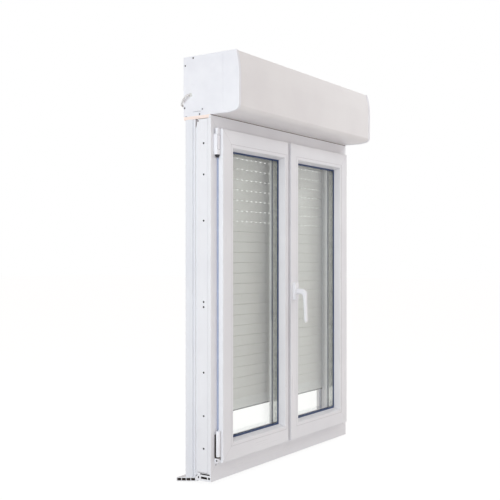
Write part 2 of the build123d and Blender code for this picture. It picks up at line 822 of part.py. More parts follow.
with BuildPart() as curtain_slats:
    for index in range(slat_count):
        base = slats_low + index * slat_pitch
        with BuildSketch(upright_plane(-slat_half_x)):
            with BuildLine():
                left = slot_centre - half_thickness
                right = slot_centre + half_thickness
                sides = slat_bulge
                foot = Line((left + sides, base), (right - sides, base))
                waist = base + slat_body / 2
                back = ThreePointArc(foot @ 1, (right, waist), (right - sides, base + slat_body))
                head = Line(back @ 1, (left + sides, base + slat_body))
                ThreePointArc(head @ 1, (left, waist), foot @ 0)
            make_face()
            chamber_low = base + pocket_high + 2 * slat_wall
            chamber_high = base + slat_body - slat_wall
            with Locations((slot_centre, (chamber_low + chamber_high) / 2)):
                Rectangle(slat_thickness - 2 * (slat_bulge + slat_wall), chamber_high - chamber_low,
                          mode=Mode.SUBTRACT)
            with Locations((slot_centre, base + pocket_high / 2 + slat_wall / 2)):
                Rectangle(2 * pocket_half, pocket_high - slat_wall, mode=Mode.SUBTRACT)
            with Locations((slot_centre, base + slat_wall / 2)):
                Rectangle(2 * mouth_half, 2 * slat_wall, mode=Mode.SUBTRACT)
            add(neck(slot_centre, base + slat_body))
        extrude(amount=2 * slat_half_x)
export(curtain_slats.part, "curtain_slats")

end_low = curtain_bottom + end_seal_height
end_high = end_low + end_slat_height - slat_play
band_high = end_low + end_slat_band
chamber_half = half_thickness - end_slat_wall
with BuildPart() as end_slat:
    with BuildSketch(upright_plane(-slat_half_x)):
        add(profile([
            (slot_centre - end_slat_thickness / 2, end_low),
            (slot_centre + end_slat_thickness / 2, end_low),
            (slot_centre + end_slat_thickness / 2, band_high),
            (slot_centre + half_thickness, band_high + end_slat_step),
            (slot_centre + half_thickness, end_high),
            (slot_centre - half_thickness, end_high),
            (slot_centre - half_thickness, band_high + end_slat_step),
            (slot_centre - end_slat_thickness / 2, band_high),
        ], [(slot_centre - chamber_half, end_low + end_slat_floor, slot_centre + chamber_half,
             end_high - end_slat_roof)]))
        add(neck(slot_centre, end_high))
    extrude(amount=2 * slat_half_x)
export(end_slat.part, "end_slat")

with BuildPart() as end_slat_seal:
    box_between(-slat_half_x, slat_half_x, slot_centre - end_seal_width / 2, slot_centre + end_seal_width / 2,
                curtain_bottom, end_low)
export(end_slat_seal.part, "end_slat_seal")

strap_top = slats_low + slat_count * slat_pitch + slat_neck - slat_play + strap_thickness / 2
with BuildPart() as curtain_straps:
    for index in range(strap_count):
        strap_x = (index - (strap_count - 1) / 2) * strap_spacing - strap_width / 2
        with BuildSketch(upright_plane(strap_x)):
            with BuildLine():
                seat = axle_z + axle_flats / 2 + strap_thickness / 2
                Polyline((axle_depth - strap_hold, seat), (axle_depth + strap_lift_off, seat),
                         (axle_depth + strap_bend_out, axle_z + strap_bend_up),
                         (slot_centre - strap_lead, strap_top),
                         (slot_centre + slat_hook_thickness / 2, strap_top))
            trace(line_width=strap_thickness)
        extrude(amount=strap_width)
export(curtain_straps.part, "curtain_straps")

# Sash profiles, in distances inward from the sash's edge and in depth
sash_outline = [
    (0, -sash_proud),
    (bead_line - bead_fit, -sash_proud),
    (bead_line - bead_fit, bead_seat),
    (rebate_base, bead_seat),
    (rebate_base, sash_leg_front),
    (sash_leg_edge, sash_leg_front),
    (sash_leg_edge, sash_back),
    (sash_wing, sash_back),
    (sash_wing, wing_back),
    (0, wing_back),
]
sash_chamber_back = sash_leg_front - 2 * sash_wall
sash_chamber = (sash_wing + sash_wall, bead_seat, rebate_base - sash_wall, sash_chamber_back)
sash_hollows = [
    (sash_wall, -sash_proud + sash_wall, bead_line - sash_wall, bead_seat - sash_wall),
    sash_chamber,
    (sash_wing + sash_wall, sash_leg_front - sash_wall, sash_leg_edge - sash_wall, sash_back - sash_wall),
]
sash_rounds = [(0, -sash_proud, sash_edge_radius)]

left_bead_line = left_glass_edge_from_tip - bead_flat
left_glass_line = left_glass_edge_from_tip + bead_slope
left_leg_edge = left_glass_line - sash_leg_gap
left_rebate = left_glass_line - glazing_rebate
lip_front = left_stile_lip_recess - sash_proud
left_stile_outline = [
    (0, lip_front),
    (left_stile_lip, lip_front),
    (left_stile_lip, -sash_proud),
    (left_bead_line - bead_fit, -sash_proud),
    (left_bead_line - bead_fit, bead_seat),
    (left_rebate, bead_seat),
    (left_rebate, sash_leg_front),
    (left_leg_edge, sash_leg_front),
    (left_leg_edge, sash_back),
    (0, sash_back),
]
left_stile_chamber = (sash_wall, lip_front + sash_wall, left_rebate - sash_wall, sash_chamber_back)
left_stile_hollows = [
    left_stile_chamber,
    (sash_wall, sash_leg_front - sash_wall, left_leg_edge - sash_wall, sash_back - sash_wall),
]

wing_front_back = right_stile_wing_thickness - sash_proud
right_bead_line = right_glass_edge_from_tip - bead_flat
right_glass_line = right_glass_edge_from_tip + bead_slope
right_leg_edge = right_glass_line - sash_leg_gap
right_rebate = right_glass_line - glazing_rebate
right_body = right_rebate - right_stile_body
right_stile_outline = [
    (0, -sash_proud),
    (right_bead_line - bead_fit, -sash_proud),
    (right_bead_line - bead_fit, bead_seat),
    (right_rebate, bead_seat),
    (right_rebate, sash_leg_front),
    (right_leg_edge, sash_leg_front),
    (right_leg_edge, sash_back),
    (right_body, sash_back),
    (right_body, wing_front_back),
    (0, wing_front_back),
]
right_stile_chamber = (right_body + sash_wall, bead_seat, right_rebate - sash_wall, sash_chamber_back)
right_stile_hollows = [
    (sash_wall, -sash_proud + sash_wall, right_body, wing_front_back - sash_wall),
    right_stile_chamber,
    (right_body + sash_wall, sash_leg_front - sash_wall, right_leg_edge - sash_wall,
     sash_back - sash_wall),
]

pivot_x = right_tip + handle_from_stile_tip
stile_face_x = right_tip + right_body
lock_low = lock_axis_depth - gearbox_depth / 2
lock_high = lock_axis_depth + gearbox_depth / 2


def sash_edges(side):
    """Edges of one sash: hinge edge, meeting-stile tip, inward direction of the stile, its outline."""
    if side == "left":
        return left_sash_x, left_tip, -1, left_stile_outline, left_stile_hollows, left_rebate
    return right_sash_x, right_tip, 1, right_stile_outline, right_stile_hollows, right_rebate


for side in ("left", "right"):
    hinge_x, tip_x, stile_inward, stile_outline, stile_hollows, stile_rebate = sash_edges(side)
    stop_x = tip_x + stile_inward * stile_rebate
    ring = (min(hinge_x, stop_x), max(hinge_x, stop_x), sash_low, sash_high)
    export(ring_bar(side, ring, sash_outline, sash_hollows, sash_rounds), f"{side}_hinge_stile")

    for rail, hinge_end in (("top", -1), ("bottom", 1)):
        mitre = hinge_end if side == "left" else -hinge_end
        with BuildPart() as sash_rail:
            add(ring_bar(rail, ring, sash_outline, sash_hollows, sash_rounds, mitres=(mitre,)))
            with BuildSketch(level_plane(tip_x, stile_inward, sash_low)):
                add(profile(stile_outline))
            extrude(amount=(sash_high - sash_low) * stile_inward, mode=Mode.SUBTRACT)
        export(sash_rail.part, f"{side}_{rail}_rail")

    with BuildPart() as meeting_stile:
        with BuildSketch(level_plane(tip_x, stile_inward, sash_low)):
            add(profile(stile_outline, stile_hollows))
        extrude(amount=(sash_high - sash_low) * stile_inward)
        for z_low, z_high in ((sash_low, sash_low + sash_wing), (sash_high - sash_wing, sash_high)):
            box_between(tip_x - unit_width, tip_x + unit_width, wing_back, frame_depth, z_low, z_high,
                        mode=Mode.SUBTRACT)
        if side == "right":
            box_between(stile_face_x - cut_past, stile_face_x + gearbox_width + pocket_fit,
                        lock_low - pocket_fit, lock_high + pocket_fit,
                        handle_height - gearbox_height / 2 - pocket_fit,
                        handle_height + gearbox_height / 2 + pocket_fit, mode=Mode.SUBTRACT)
            with Locations(Location((pivot_x, room_y - sash_proud, handle_height), (90, 0, 0))):
                Cylinder(spindle_hole_radius, 2 * sash_proud + 2 * lock_low, mode=Mode.SUBTRACT)
    export(meeting_stile.part, f"{side}_meeting_stile")

    sash_tube, sash_tube_hollow = box_tube(*sash_chamber, fit=steel_fit)
    with BuildPart() as sash_reinforcements:
        add(ring_bar(side, ring, sash_tube, sash_tube_hollow, end_gap=steel_end_gap))
        for rail in ("top", "bottom"):
            add(ring_bar(rail, ring, sash_tube, sash_tube_hollow, end_gap=steel_end_gap))
        if side == "left":
            tube, tube_hollow = box_tube(*left_stile_chamber, fit=steel_fit)
            with BuildSketch(level_plane(tip_x, stile_inward, sash_low + steel_end_gap)):
                add(profile(tube, tube_hollow))
            extrude(amount=(sash_high - sash_low - 2 * steel_end_gap) * stile_inward)
    export(sash_reinforcements.part, f"{side}_sash_reinforcements")

    glass_x = left_glass if side == "left" else right_glass
    virtual = (glass_x[0] - sash_face, glass_x[1] + sash_face, sash_low, sash_high)
    bead_front = bead_recess - sash_proud
    bead_outline = [
        (bead_line, bead_front),
        (sash_face, bead_front),
        (glass_line, 0),
        (rebate_base + bead_fit, 0),
        (rebate_base + bead_fit, bead_seat + bead_fit),
        (bead_line, bead_seat + bead_fit),
    ]
    with BuildPart() as glazing_beads:
        for bar in ("left", "right", "top", "bottom"):
            add(ring_bar(bar, virtual, bead_outline, rounds=[(sash_face, bead_front, bead_radius)],
                         end_gap=bead_mitre_gap))
    export(glazing_beads.part, f"{side}_glazing_beads")

    cover = glass_line - glass_edge_cover
    pane_x = (virtual[0] + cover, virtual[1] - cover)
    pane_z = (virtual[2] + cover, virtual[3] - cover)
    with BuildPart() as glass_panes:
        for front in (glass_front_depth, glass_front_depth + pane_thickness + pane_space):
            box_between(*pane_x, front, front + pane_thickness, *pane_z)
    export(glass_panes.part, f"{side}_glass_panes")

    spacer_in = cover + spacer_inset
    export(ring_gasket(virtual, spacer_in, spacer_in + spacer_height, glass_front_depth + pane_thickness,
                       glass_front_depth + pane_thickness + pane_space), f"{side}_glass_spacer")

    with BuildPart() as glazing_gaskets:
        add(ring_gasket(virtual, glass_line + gasket_proud - gasket_height, glass_line + gasket_proud,
                        0, glass_front_depth))
        add(ring_gasket(virtual, sash_leg_edge + gasket_proud - gasket_height, sash_leg_edge + gasket_proud,
                        pane_back, sash_leg_front))
    export(glazing_gaskets.part, f"{side}_glazing_gaskets")

# Hinges: frame halves and pins on the frame, turning halves on the sashes
hinge_depth = -hinge_proud
with BuildPart() as hinge_brackets:
    for inward in (1, -1):
        hinge_x = -inward * (half_width - hinge_from_edge)
        for z_low, z_high in ((top_hinge_low, top_hinge_joint), (bottom_hinge_low, bottom_hinge_joint)):
            box_between(hinge_x - hinge_block / 2, hinge_x + hinge_block / 2,
                        hinge_depth - hinge_bracket_front, 0, z_low, z_high)
            with Locations((hinge_x, room_y + hinge_depth, (z_low + z_high) / 2)):
                Cylinder(hinge_pin_radius + hinge_pin_clearance, z_high - z_low, mode=Mode.SUBTRACT)
export(hinge_brackets.part, "hinge_brackets")

pin_spans = (
    (top_hinge_low + pin_above_bracket_low, top_hinge_high - pin_below_top_cap),
    (bottom_hinge_low + pin_above_foot, bottom_hinge_high - pin_below_bottom_cap),
)
with BuildPart() as hinge_pins:
    for inward in (1, -1):
        hinge_x = -inward * (half_width - hinge_from_edge)
        for z_low, z_high in pin_spans:
            with Locations((hinge_x, room_y + hinge_depth, (z_low + z_high) / 2)):
                Cylinder(hinge_pin_radius, z_high - z_low)
export(hinge_pins.part, "hinge_pins")

for side, inward in (("left", 1), ("right", -1)):
    hinge_x = -inward * (half_width - hinge_from_edge)
    arm_x = -inward * (half_width - sash_edge)
    with BuildPart() as sash_hinges:
        for z_low, z_high, pin_end in (
            (top_hinge_joint + hinge_turn_clearance, top_hinge_high, pin_spans[0][1]),
            (bottom_hinge_joint + hinge_turn_clearance, bottom_hinge_high, pin_spans[1][1]),
        ):
            edges = sorted((hinge_x, arm_x))
            box_between(*edges, hinge_depth - hinge_arm_depth / 2, hinge_depth + hinge_arm_depth / 2,
                        z_low, z_high)
            with Locations((hinge_x, room_y + hinge_depth, (z_low + z_high) / 2)):
                Cylinder(hinge_barrel_radius, z_high - z_low)
            bore_high = pin_end + hinge_turn_clearance
            with Locations((hinge_x, room_y + hinge_depth, (z_low + bore_high) / 2)):
                Cylinder(hinge_pin_radius + hinge_pin_clearance, bore_high - z_low, mode=Mode.SUBTRACT)
    export(sash_hinges.part, f"{side}_sash_hinges")

# Handle and lock
handle_plane = Plane(origin=(pivot_x, room_y - sash_proud, handle_height), x_dir=(1, 0, 0), z_dir=(0, -1, 0))
with BuildPart() as handle_rosette:
    with BuildSketch(handle_plane):
        RectangleRounded(rosette_width, rosette_height, rosette_width / 2 - round_end_flat)
    extrude(amount=rosette_thickness, taper=rosette_taper)
    with BuildSketch(handle_plane):
        Circle(spindle_hole_radius)
    extrude(amount=rosette_thickness, mode=Mode.SUBTRACT)
export(handle_rosette.part, "handle_rosette")

grip_back = grip_standoff - grip_thickness
with BuildPart() as handle_lever:
    with BuildSketch(handle_plane.offset(rosette_thickness + drive_clearance)):
        Circle(neck_radius)
    extrude(amount=grip_back + grip_thickness / 2 - rosette_thickness)
    with BuildSketch(handle_plane.offset(grip_back)):
        with Locations((0, (grip_above_pivot - grip_length) / 2)):
            RectangleRounded(grip_width, grip_length + grip_above_pivot, grip_width / 2 - round_end_flat)
    extrude(amount=grip_thickness)
    fillet(handle_lever.edges().group_by(Axis.Y)[0], grip_edge_radius)
    with BuildSketch(handle_plane.offset(rosette_thickness + drive_clearance)):
        Rectangle(spindle_side, spindle_side)
    extrude(amount=grip_back - rosette_thickness, mode=Mode.SUBTRACT)
export(handle_lever.part, "handle_lever")

spindle_inner = sash_proud + lock_high - spindle_end_gap
with BuildPart() as handle_spindle:
    with BuildSketch(handle_plane.offset(-spindle_inner)):
        Rectangle(spindle_side, spindle_side)
    extrude(amount=spindle_inner + grip_back)
export(handle_spindle.part, "handle_spindle")

with BuildPart() as lock_gearbox:
    box_between(stile_face_x, stile_face_x + gearbox_width, lock_low, lock_high,
                handle_height - gearbox_height / 2, handle_height + gearbox_height / 2)
    with Locations(Location((pivot_x, room_y + lock_axis_depth, handle_height), (90, 0, 0))):
        Cylinder(spindle_hole_radius, gearbox_depth, mode=Mode.SUBTRACT)
export(lock_gearbox.part, "lock_gearbox")

rod_face_x = stile_face_x - curtain_clearance - lock_rod_thickness
with BuildPart() as lock_rod:
    box_between(rod_face_x, rod_face_x + lock_rod_thickness, lock_axis_depth - lock_rod_width / 2,
                lock_axis_depth + lock_rod_width / 2, lock_rod_low, lock_rod_high)
    for cam_z in lock_cam_heights:
        cam_x = rod_face_x - lock_cam_reach / 2
        with Locations(Location((cam_x, room_y + lock_axis_depth, cam_z), (0, 90, 0))):
            Cylinder(lock_cam_radius, lock_cam_reach)
export(lock_rod.part, "lock_rod")

with BuildPart() as lock_keeps:
    for cam_z in lock_cam_heights:
        z_low, z_high = cam_z - keep_length / 2, cam_z + keep_length / 2
        lip_depth = lock_axis_depth - lock_cam_radius - cam_clearance
        lip_front_depth = lip_depth - keep_lip_thickness
        box_between(left_tip, left_tip + keep_base, lip_front_depth, lock_axis_depth + keep_reach,
                    z_low, z_high)
        box_between(left_tip, left_tip + keep_lip, lip_front_depth, lip_depth, z_low, z_high)
export(lock_keeps.part, "lock_keeps")

# Motor cable: out of the grommet, round the rear edge of the cap and into a coil behind the box
cable_radius = cable_diameter / 2
with BuildPart() as cable_grommet:
    exit_plane = Plane(origin=(-half_width, room_y + cable_exit_depth, cable_z), z_dir=(-1, 0, 0))
    with BuildSketch(exit_plane):
        Circle(grommet_radius)
        Circle(cable_radius, mode=Mode.SUBTRACT)
    extrude(amount=grommet_flange)
    with BuildSketch(exit_plane):
        Circle(grommet_radius - grommet_flange)
        Circle(cable_radius, mode=Mode.SUBTRACT)
    extrude(amount=-cap_plate)
export(cable_grommet.part, "cable_grommet")

coil_x = -half_width + coil_from_edge
coil_z = box_bottom + coil_above_box
coil_wind = (coil_turns / coil_layers) * coil_pitch / 2
coil_outer = coil_mean_radius + coil_wind
coil_front = box_rear_depth - panel_inset + coil_wall_gap + cable_radius
cable_route = [
    (-half_width - grommet_flange, cable_exit_depth, cable_z),
    (-half_width - 8.5, cable_exit_depth, cable_z),
    (-half_width - 13.5, 95.0, cable_z - 2.0),
    (-half_width - 15.0, 104.5, cable_z - 8.5),
    (-half_width - 13.0, 114.5, cable_z - 17.0),
    (-half_width - 7.5, 125.5, cable_z - 28.0),
    (-half_width + 3.0, 131.5, cable_z - 34.0),
    (-half_width + 26.0, 131.0, cable_z - 36.0),
    (-half_width + 58.0, coil_front, coil_z - coil_outer),
    (coil_x - cable_diameter, coil_front, coil_z - coil_outer),
]
cable_points = [Vector(x, room_y + depth, z) for x, depth, z in cable_route]


def cable_radii(points):
    """Arc radius at each inner point: a share of the shorter run over the tangent of half the turn."""
    radii = []
    for before, point, after in zip(points, points[1:], points[2:]):
        turn = (point - before).get_angle(after - point)
        shorter = min((point - before).length, (after - point).length)
        radii.append(radius_share * shorter / math.tan(math.radians(turn) / 2))
    return radii


radii = cable_radii(cable_points)
print("motor cable arc radii:", [round(radius, 1) for radius in radii])
with BuildPart() as motor_cable:
    with BuildLine() as cable_line:
        FilletPolyline(*cable_points, radius=radii)
    cable_wire = cable_line.wire()
    with BuildSketch(Plane(origin=cable_wire @ 0, z_dir=cable_wire % 0)):
        Circle(cable_radius)
    sweep()
cable_share = motor_cable.part.volume / (math.pi * cable_radius**2 * cable_wire.length)
print("motor cable length", round(cable_wire.length, 1), "volume share", round(cable_share, 4))
export(motor_cable.part, "motor_cable")

turns_per_layer = coil_turns / coil_layers


def coil_point(turn):
    """Centre line of the coil after a number of turns: spirals in and out, a layer at a time."""
    layer = min(int(turn / turns_per_layer), coil_layers - 1)
    within = turn - layer * turns_per_layer
    share = within / turns_per_layer
    inner = coil_outer - 2 * coil_wind * share
    outer = coil_outer - 2 * coil_wind * (1 - share)
    radius = inner if layer % 2 == 0 else outer
    climb = 0.0
    for step in range(1, coil_layers):
        reach = (turn - step * turns_per_layer + climb_half) / (2 * climb_half)
        reach = max(0.0, min(1.0, reach))
        climb += (1 - math.cos(math.pi * reach)) / 2
    angle = 2 * math.pi * turn
    return Vector(
        coil_x + radius * math.sin(angle),
        room_y + coil_front + climb * coil_pitch,
        coil_z - radius * math.cos(angle),
    )


def coil_tangent(turn):
    """Direction of the coil's centre line, from two points close to a turn count."""
    step = 0.001
    return (coil_point(min(turn + step, coil_turns)) - coil_point(max(turn - step, 0.0))).normalized()


def biarc_joint(start, start_tangent, end, end_tangent):
    """The point where two tangent arcs between two points meet."""
    chord = end - start
    both = start_tangent + end_tangent
    square = 2 * (1 - start_tangent.dot(end_tangent))
    reach = chord.dot(both)
    length = (-reach + math.sqrt(reach * reach + square * chord.dot(chord))) / square
    return (start + end + (start_tangent - end_tangent) * length) * 0.5


coil_steps = int(coil_turns * 4)
coil_turns_at = [step * coil_turns / coil_steps for step in range(coil_steps + 1)]
coil_points = [coil_point(turn) for turn in coil_turns_at]
coil_tangents = [coil_tangent(turn) for turn in coil_turns_at]
coil_tangents[0] = Vector(1, 0, 0)
samples = [coil_point(coil_turns * step / coil_samples) for step in range(coil_samples + 1)]
least_gap = min(
    (first - second).length - cable_diameter
    for index, first in enumerate(samples)
    for second in samples[index + neighbour_samples:]
)
print("coil least gap to itself", round(least_gap, 2))
with BuildPart() as motor_cable_coil:
    with BuildLine() as coil_line:
        Line(cable_points[-1], coil_points[0])
        for first, second, first_tangent, second_tangent in zip(
            coil_points, coil_points[1:], coil_tangents, coil_tangents[1:]
        ):
            joint = biarc_joint(first, first_tangent, second, second_tangent)
            half = TangentArc(first, joint, tangent=first_tangent)
            TangentArc(half @ 1, second, tangent=half % 1)
    coil_wire = coil_line.wire()
    with BuildSketch(Plane(origin=coil_wire @ 0, z_dir=coil_wire % 0)):
        Circle(cable_radius)
    sweep()
coil_share = motor_cable_coil.part.volume / (math.pi * cable_radius**2 * coil_wire.length)
print("coil length", round(coil_wire.length, 1), "volume share", round(coil_share, 4))
export(motor_cable_coil.part, "motor_cable_coil")
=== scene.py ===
import logging
import math
from dataclasses import dataclass, field
from enum import Enum
from typing import Iterable, Mapping, Sequence, TypeVar, Union

import bmesh
import bpy
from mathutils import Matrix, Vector


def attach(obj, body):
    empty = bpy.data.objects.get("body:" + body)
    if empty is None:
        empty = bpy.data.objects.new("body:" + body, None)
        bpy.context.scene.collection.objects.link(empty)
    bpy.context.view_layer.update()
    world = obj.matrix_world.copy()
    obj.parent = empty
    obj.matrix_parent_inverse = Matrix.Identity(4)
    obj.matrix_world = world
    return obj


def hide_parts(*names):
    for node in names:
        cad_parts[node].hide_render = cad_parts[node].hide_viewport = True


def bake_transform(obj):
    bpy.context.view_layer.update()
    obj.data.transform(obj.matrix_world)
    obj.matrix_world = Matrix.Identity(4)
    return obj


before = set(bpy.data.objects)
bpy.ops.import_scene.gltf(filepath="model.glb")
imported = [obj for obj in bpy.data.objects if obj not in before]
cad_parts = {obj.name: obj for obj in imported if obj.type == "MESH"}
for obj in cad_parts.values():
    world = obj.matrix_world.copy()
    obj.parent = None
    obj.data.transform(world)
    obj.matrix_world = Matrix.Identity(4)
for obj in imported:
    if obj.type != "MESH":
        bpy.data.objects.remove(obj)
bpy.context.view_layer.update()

log = logging.getLogger("shutter_window")

Colour = tuple[float, float, float, float]
Point = tuple[float, float, float]
Span = tuple[float, float]
Box = tuple[Span, Span, Span]
Corner = TypeVar("Corner")
Number = Union["Value", float]

MM = 0.001
ROOM_FACE = -35.0        # the room side's place along Y, in millimetres
WHITE: Colour = (1.0, 1.0, 1.0, 1.0)
UP = Vector((0, 0, 1))
BACK = Vector((0, 1, 0))
ACROSS = Vector((1, 0, 0))
# Angles between faces over which an edge is rounded, and over which it is shaded as an edge.
SOFTEN_OVER = math.radians(40)
SHARP_OVER = math.radians(38)
# How often the marks on drawn profiles repeat in a metre.
CLOUDS = 5.0
DRAW_LINES = 260.0
FINE_GRAIN = 1400.0


def srgb(red: int, green: int, blue: int) -> Colour:
    """Gives a colour written in screen values as linear light.

    Args:
        red: Screen value from 0 to 255.
        green: Screen value from 0 to 255.
        blue: Screen value from 0 to 255.

    Returns:
        Linear red, green and blue, and an alpha of 1.
    """
    def linear(value: float) -> float:
        """Turns one screen value from 0 to 1 into linear light."""
        return value / 12.92 if value <= 0.04045 else ((value + 0.055) / 1.055) ** 2.4

    return linear(red / 255), linear(green / 255), linear(blue / 255), 1.0


def at(x: float, depth: float, z: float) -> Vector:
    """Gives a point in metres, from millimetres across, behind the room side and above the sill's foot."""
    return Vector((x, depth + ROOM_FACE, z)) * MM


class Side(Enum):
    """A side of the unit, as its direction along the width."""

    LEFT = -1
    RIGHT = 1

    @property
    def word(self) -> str:
        """The side's word in the names of nodes, bodies and pieces."""
        return self.name.lower()

    def span(self, first: float, second: float) -> Span:
        """Gives two distances from the middle on this side as low and high places."""
        low, high = sorted((self.value * first, self.value * second))
        return low, high


def neighbours(line: Sequence[Corner]) -> list[tuple[Corner, Corner, Corner]]:
    """Gives each point of an open line with the points before and after it, or itself at an end."""
    return list(zip(line, (line[0], *line[:-1]), (*line[1:], line[-1])))


class Value:
    """A number on a node socket, so that shader maths reads as plain arithmetic."""

    def __init__(self, graph: "Graph", socket: bpy.types.NodeSocket) -> None:
        """Keeps the graph and the socket that holds the number."""
        self.graph = graph
        self.socket = socket

    def math(self, operation: str, *operands: Number) -> "Value":
        """Adds a Math node with its inputs in order."""
        node = self.graph.node("ShaderNodeMath", {"operation": operation}, dict(enumerate(operands)))
        return Value(self.graph, node.outputs[0])

    def __add__(self, other: Number) -> "Value":
        """Adds another number."""
        return self.math("ADD", self, other)

    def __radd__(self, other: Number) -> "Value":
        """Adds this to another number."""
        return self.math("ADD", other, self)

    def __sub__(self, other: Number) -> "Value":
        """Takes another number away."""
        return self.math("SUBTRACT", self, other)

    def __rsub__(self, other: Number) -> "Value":
        """Takes this away from another number."""
        return self.math("SUBTRACT", other, self)

    def __mul__(self, other: Number) -> "Value":
        """Multiplies by another number."""
        return self.math("MULTIPLY", self, other)

    def __rmul__(self, other: Number) -> "Value":
        """Multiplies another number by this."""
        return self.math("MULTIPLY", other, self)

    def __truediv__(self, other: Number) -> "Value":
        """Divides by another number."""
        return self.math("DIVIDE", self, other)

    def __abs__(self) -> "Value":
        """Drops the sign."""
        return self.math("ABSOLUTE", self)

    def above(self, other: Number) -> "Value":
        """Gives 1 where this is more than the other, and 0 elsewhere."""
        return self.math("GREATER_THAN", self, other)

    def most(self, other: Number) -> "Value":
        """Gives the larger of the two."""
        return self.math("MAXIMUM", self, other)

    def power(self, exponent: float) -> "Value":
        """Raises to a power."""
        return self.math("POWER", self, exponent)

    def wrap(self, period: float) -> "Value":
        """Gives the distance from the nearest multiple of a period."""
        return self.math("PINGPONG", self, period / 2)

    def fade(self, start: float, end: float) -> "Value":
        """Goes smoothly from 0 to 1.

        Args:
            start: Where the result is still 0.
            end: Where the result has become 1.

        Returns:
            The smoothed share.
        """
        inputs = {"Value": self, "From Min": start, "From Max": end}
        node = self.graph.node("ShaderNodeMapRange", {"interpolation_type": "SMOOTHSTEP"}, inputs)
        return Value(self.graph, node.outputs["Result"])


class Graph:
    """The node tree of one material or world."""

    def __init__(self, tree: bpy.types.NodeTree) -> None:
        """Empties the tree."""
        self.tree = tree
        tree.nodes.clear()

    def node(self, kind: str, settings: Mapping[str, object] | None = None,
             inputs: Mapping[str | int, object] | None = None) -> bpy.types.Node:
        """Makes any node.

        Args:
            kind: The node's type.
            settings: Its settings, which are set first; "stops" are a ramp's places and colours.
            inputs: Numbers, colours, sockets or values for its inputs, by name or index.

        Returns:
            The new node.
        """
        made = self.tree.nodes.new(kind)
        for name, setting in (settings or {}).items():
            if name != "stops":
                setattr(made, name, setting)
                continue
            for index, (place, colour) in enumerate(setting):
                elements = made.color_ramp.elements
                element = elements[index] if index < len(elements) else elements.new(place)
                element.position, element.color = place, colour
        for name, value in (inputs or {}).items():
            source = value.socket if isinstance(value, Value) else value
            if isinstance(source, bpy.types.NodeSocket):
                self.tree.links.new(source, made.inputs[name])
            else:
                made.inputs[name].default_value = source
        return made

    def place(self) -> bpy.types.NodeSocket:
        """Gives the surface's place on the object, in metres."""
        return self.node("ShaderNodeTexCoord").outputs["Object"]

    def parts(self, vector: bpy.types.NodeSocket) -> tuple[Value, Value, Value]:
        """Splits a vector into its three numbers."""
        outputs = self.node("ShaderNodeSeparateXYZ", None, {0: vector}).outputs
        return Value(self, outputs[0]), Value(self, outputs[1]), Value(self, outputs[2])

    def noise(self, scale: float, stretch: Point = (1, 1, 1), detail: float = 3.0) -> Value:
        """Adds soft noise.

        Args:
            scale: How many times a metre the noise repeats, roughly.
            stretch: Factors on the place's three numbers, under 1 for long streaks.
            detail: How many finer layers it has.

        Returns:
            A number around one half.
        """
        place = self.place()
        if stretch != (1, 1, 1):
            place = self.node("ShaderNodeVectorMath", {"operation": "MULTIPLY"},
                              {0: place, 1: stretch}).outputs[0]
        node = self.node("ShaderNodeTexNoise", None, {"Vector": place, "Scale": scale, "Detail": detail})
        return Value(self, node.outputs[0])

    def mix(self, share: Number, first: object, second: object) -> bpy.types.NodeSocket:
        """Blends two colours by the share of the second one."""
        settings = {"data_type": "RGBA", "clamp_factor": True}
        return self.node("ShaderNodeMix", settings, {0: share, 6: first, 7: second}).outputs[2]

    def bump(self, height: Value, distance: float, strength: float = 1.0) -> bpy.types.NodeSocket:
        """Tilts the surface by a height, which is a share of a distance in metres."""
        inputs = {"Height": height, "Distance": distance, "Strength": strength}
        return self.node("ShaderNodeBump", None, inputs).outputs[0]

    def shader(self, **inputs: object) -> bpy.types.NodeSocket:
        """Adds the main shader, with underscores for the spaces in its inputs' names."""
        named = {name.replace("_", " "): value for name, value in inputs.items()}
        return self.node("ShaderNodeBsdfPrincipled", None, named).outputs[0]

    def blend(self, share: Value, first: bpy.types.Node, second: bpy.types.Node) -> bpy.types.NodeSocket:
        """Blends two shaders by the share of the second one."""
        inputs = {0: share, 1: first.outputs[0], 2: second.outputs[0]}
        return self.node("ShaderNodeMixShader", None, inputs).outputs[0]

    def seen(self) -> Value:
        """Gives 1 for rays from the camera, a mirror or clear glass, and 0 for the others."""
        rays = self.node("ShaderNodeLightPath").outputs
        seen = Value(self, rays["Is Camera Ray"]).most(Value(self, rays["Is Glossy Ray"]))
        return seen.most(Value(self, rays["Is Transmission Ray"]))

    def show(self, surface: bpy.types.NodeSocket, kind: str = "ShaderNodeOutputMaterial") -> None:
        """Sends a shader to the output."""
        self.node(kind, None, {0: surface})


class Run(Enum):
    """The direction that a profile was drawn in, as factors that stretch its streaks."""

    WIDTH = (0.02, 1.0, 1.0)
    HEIGHT = (1.0, 1.0, 0.02)
    NONE = (1.0, 1.0, 1.0)


@dataclass(frozen=True)
class Seam:
    """A welded corner: a line at 45 degrees through a point of the front."""

    x: float
    z: float
    lean: int
    reach: float = 90.0
    width: float = 0.9


@dataclass(frozen=True)
class Finish:
    """A finish, which each kind draws in its own way."""

    name: str

    def surface(self, graph: Graph) -> bpy.types.NodeSocket:
        """Draws the shader, which has to be done by the kind of finish."""
        raise NotImplementedError(self.name)

    def material(self) -> bpy.types.Material:
        """Makes the material.

        Returns:
            A new material that shows this finish.
        """
        material = bpy.data.materials.new(self.name)
        material.use_nodes = True
        graph = Graph(material.node_tree)
        graph.show(self.surface(graph))
        return material


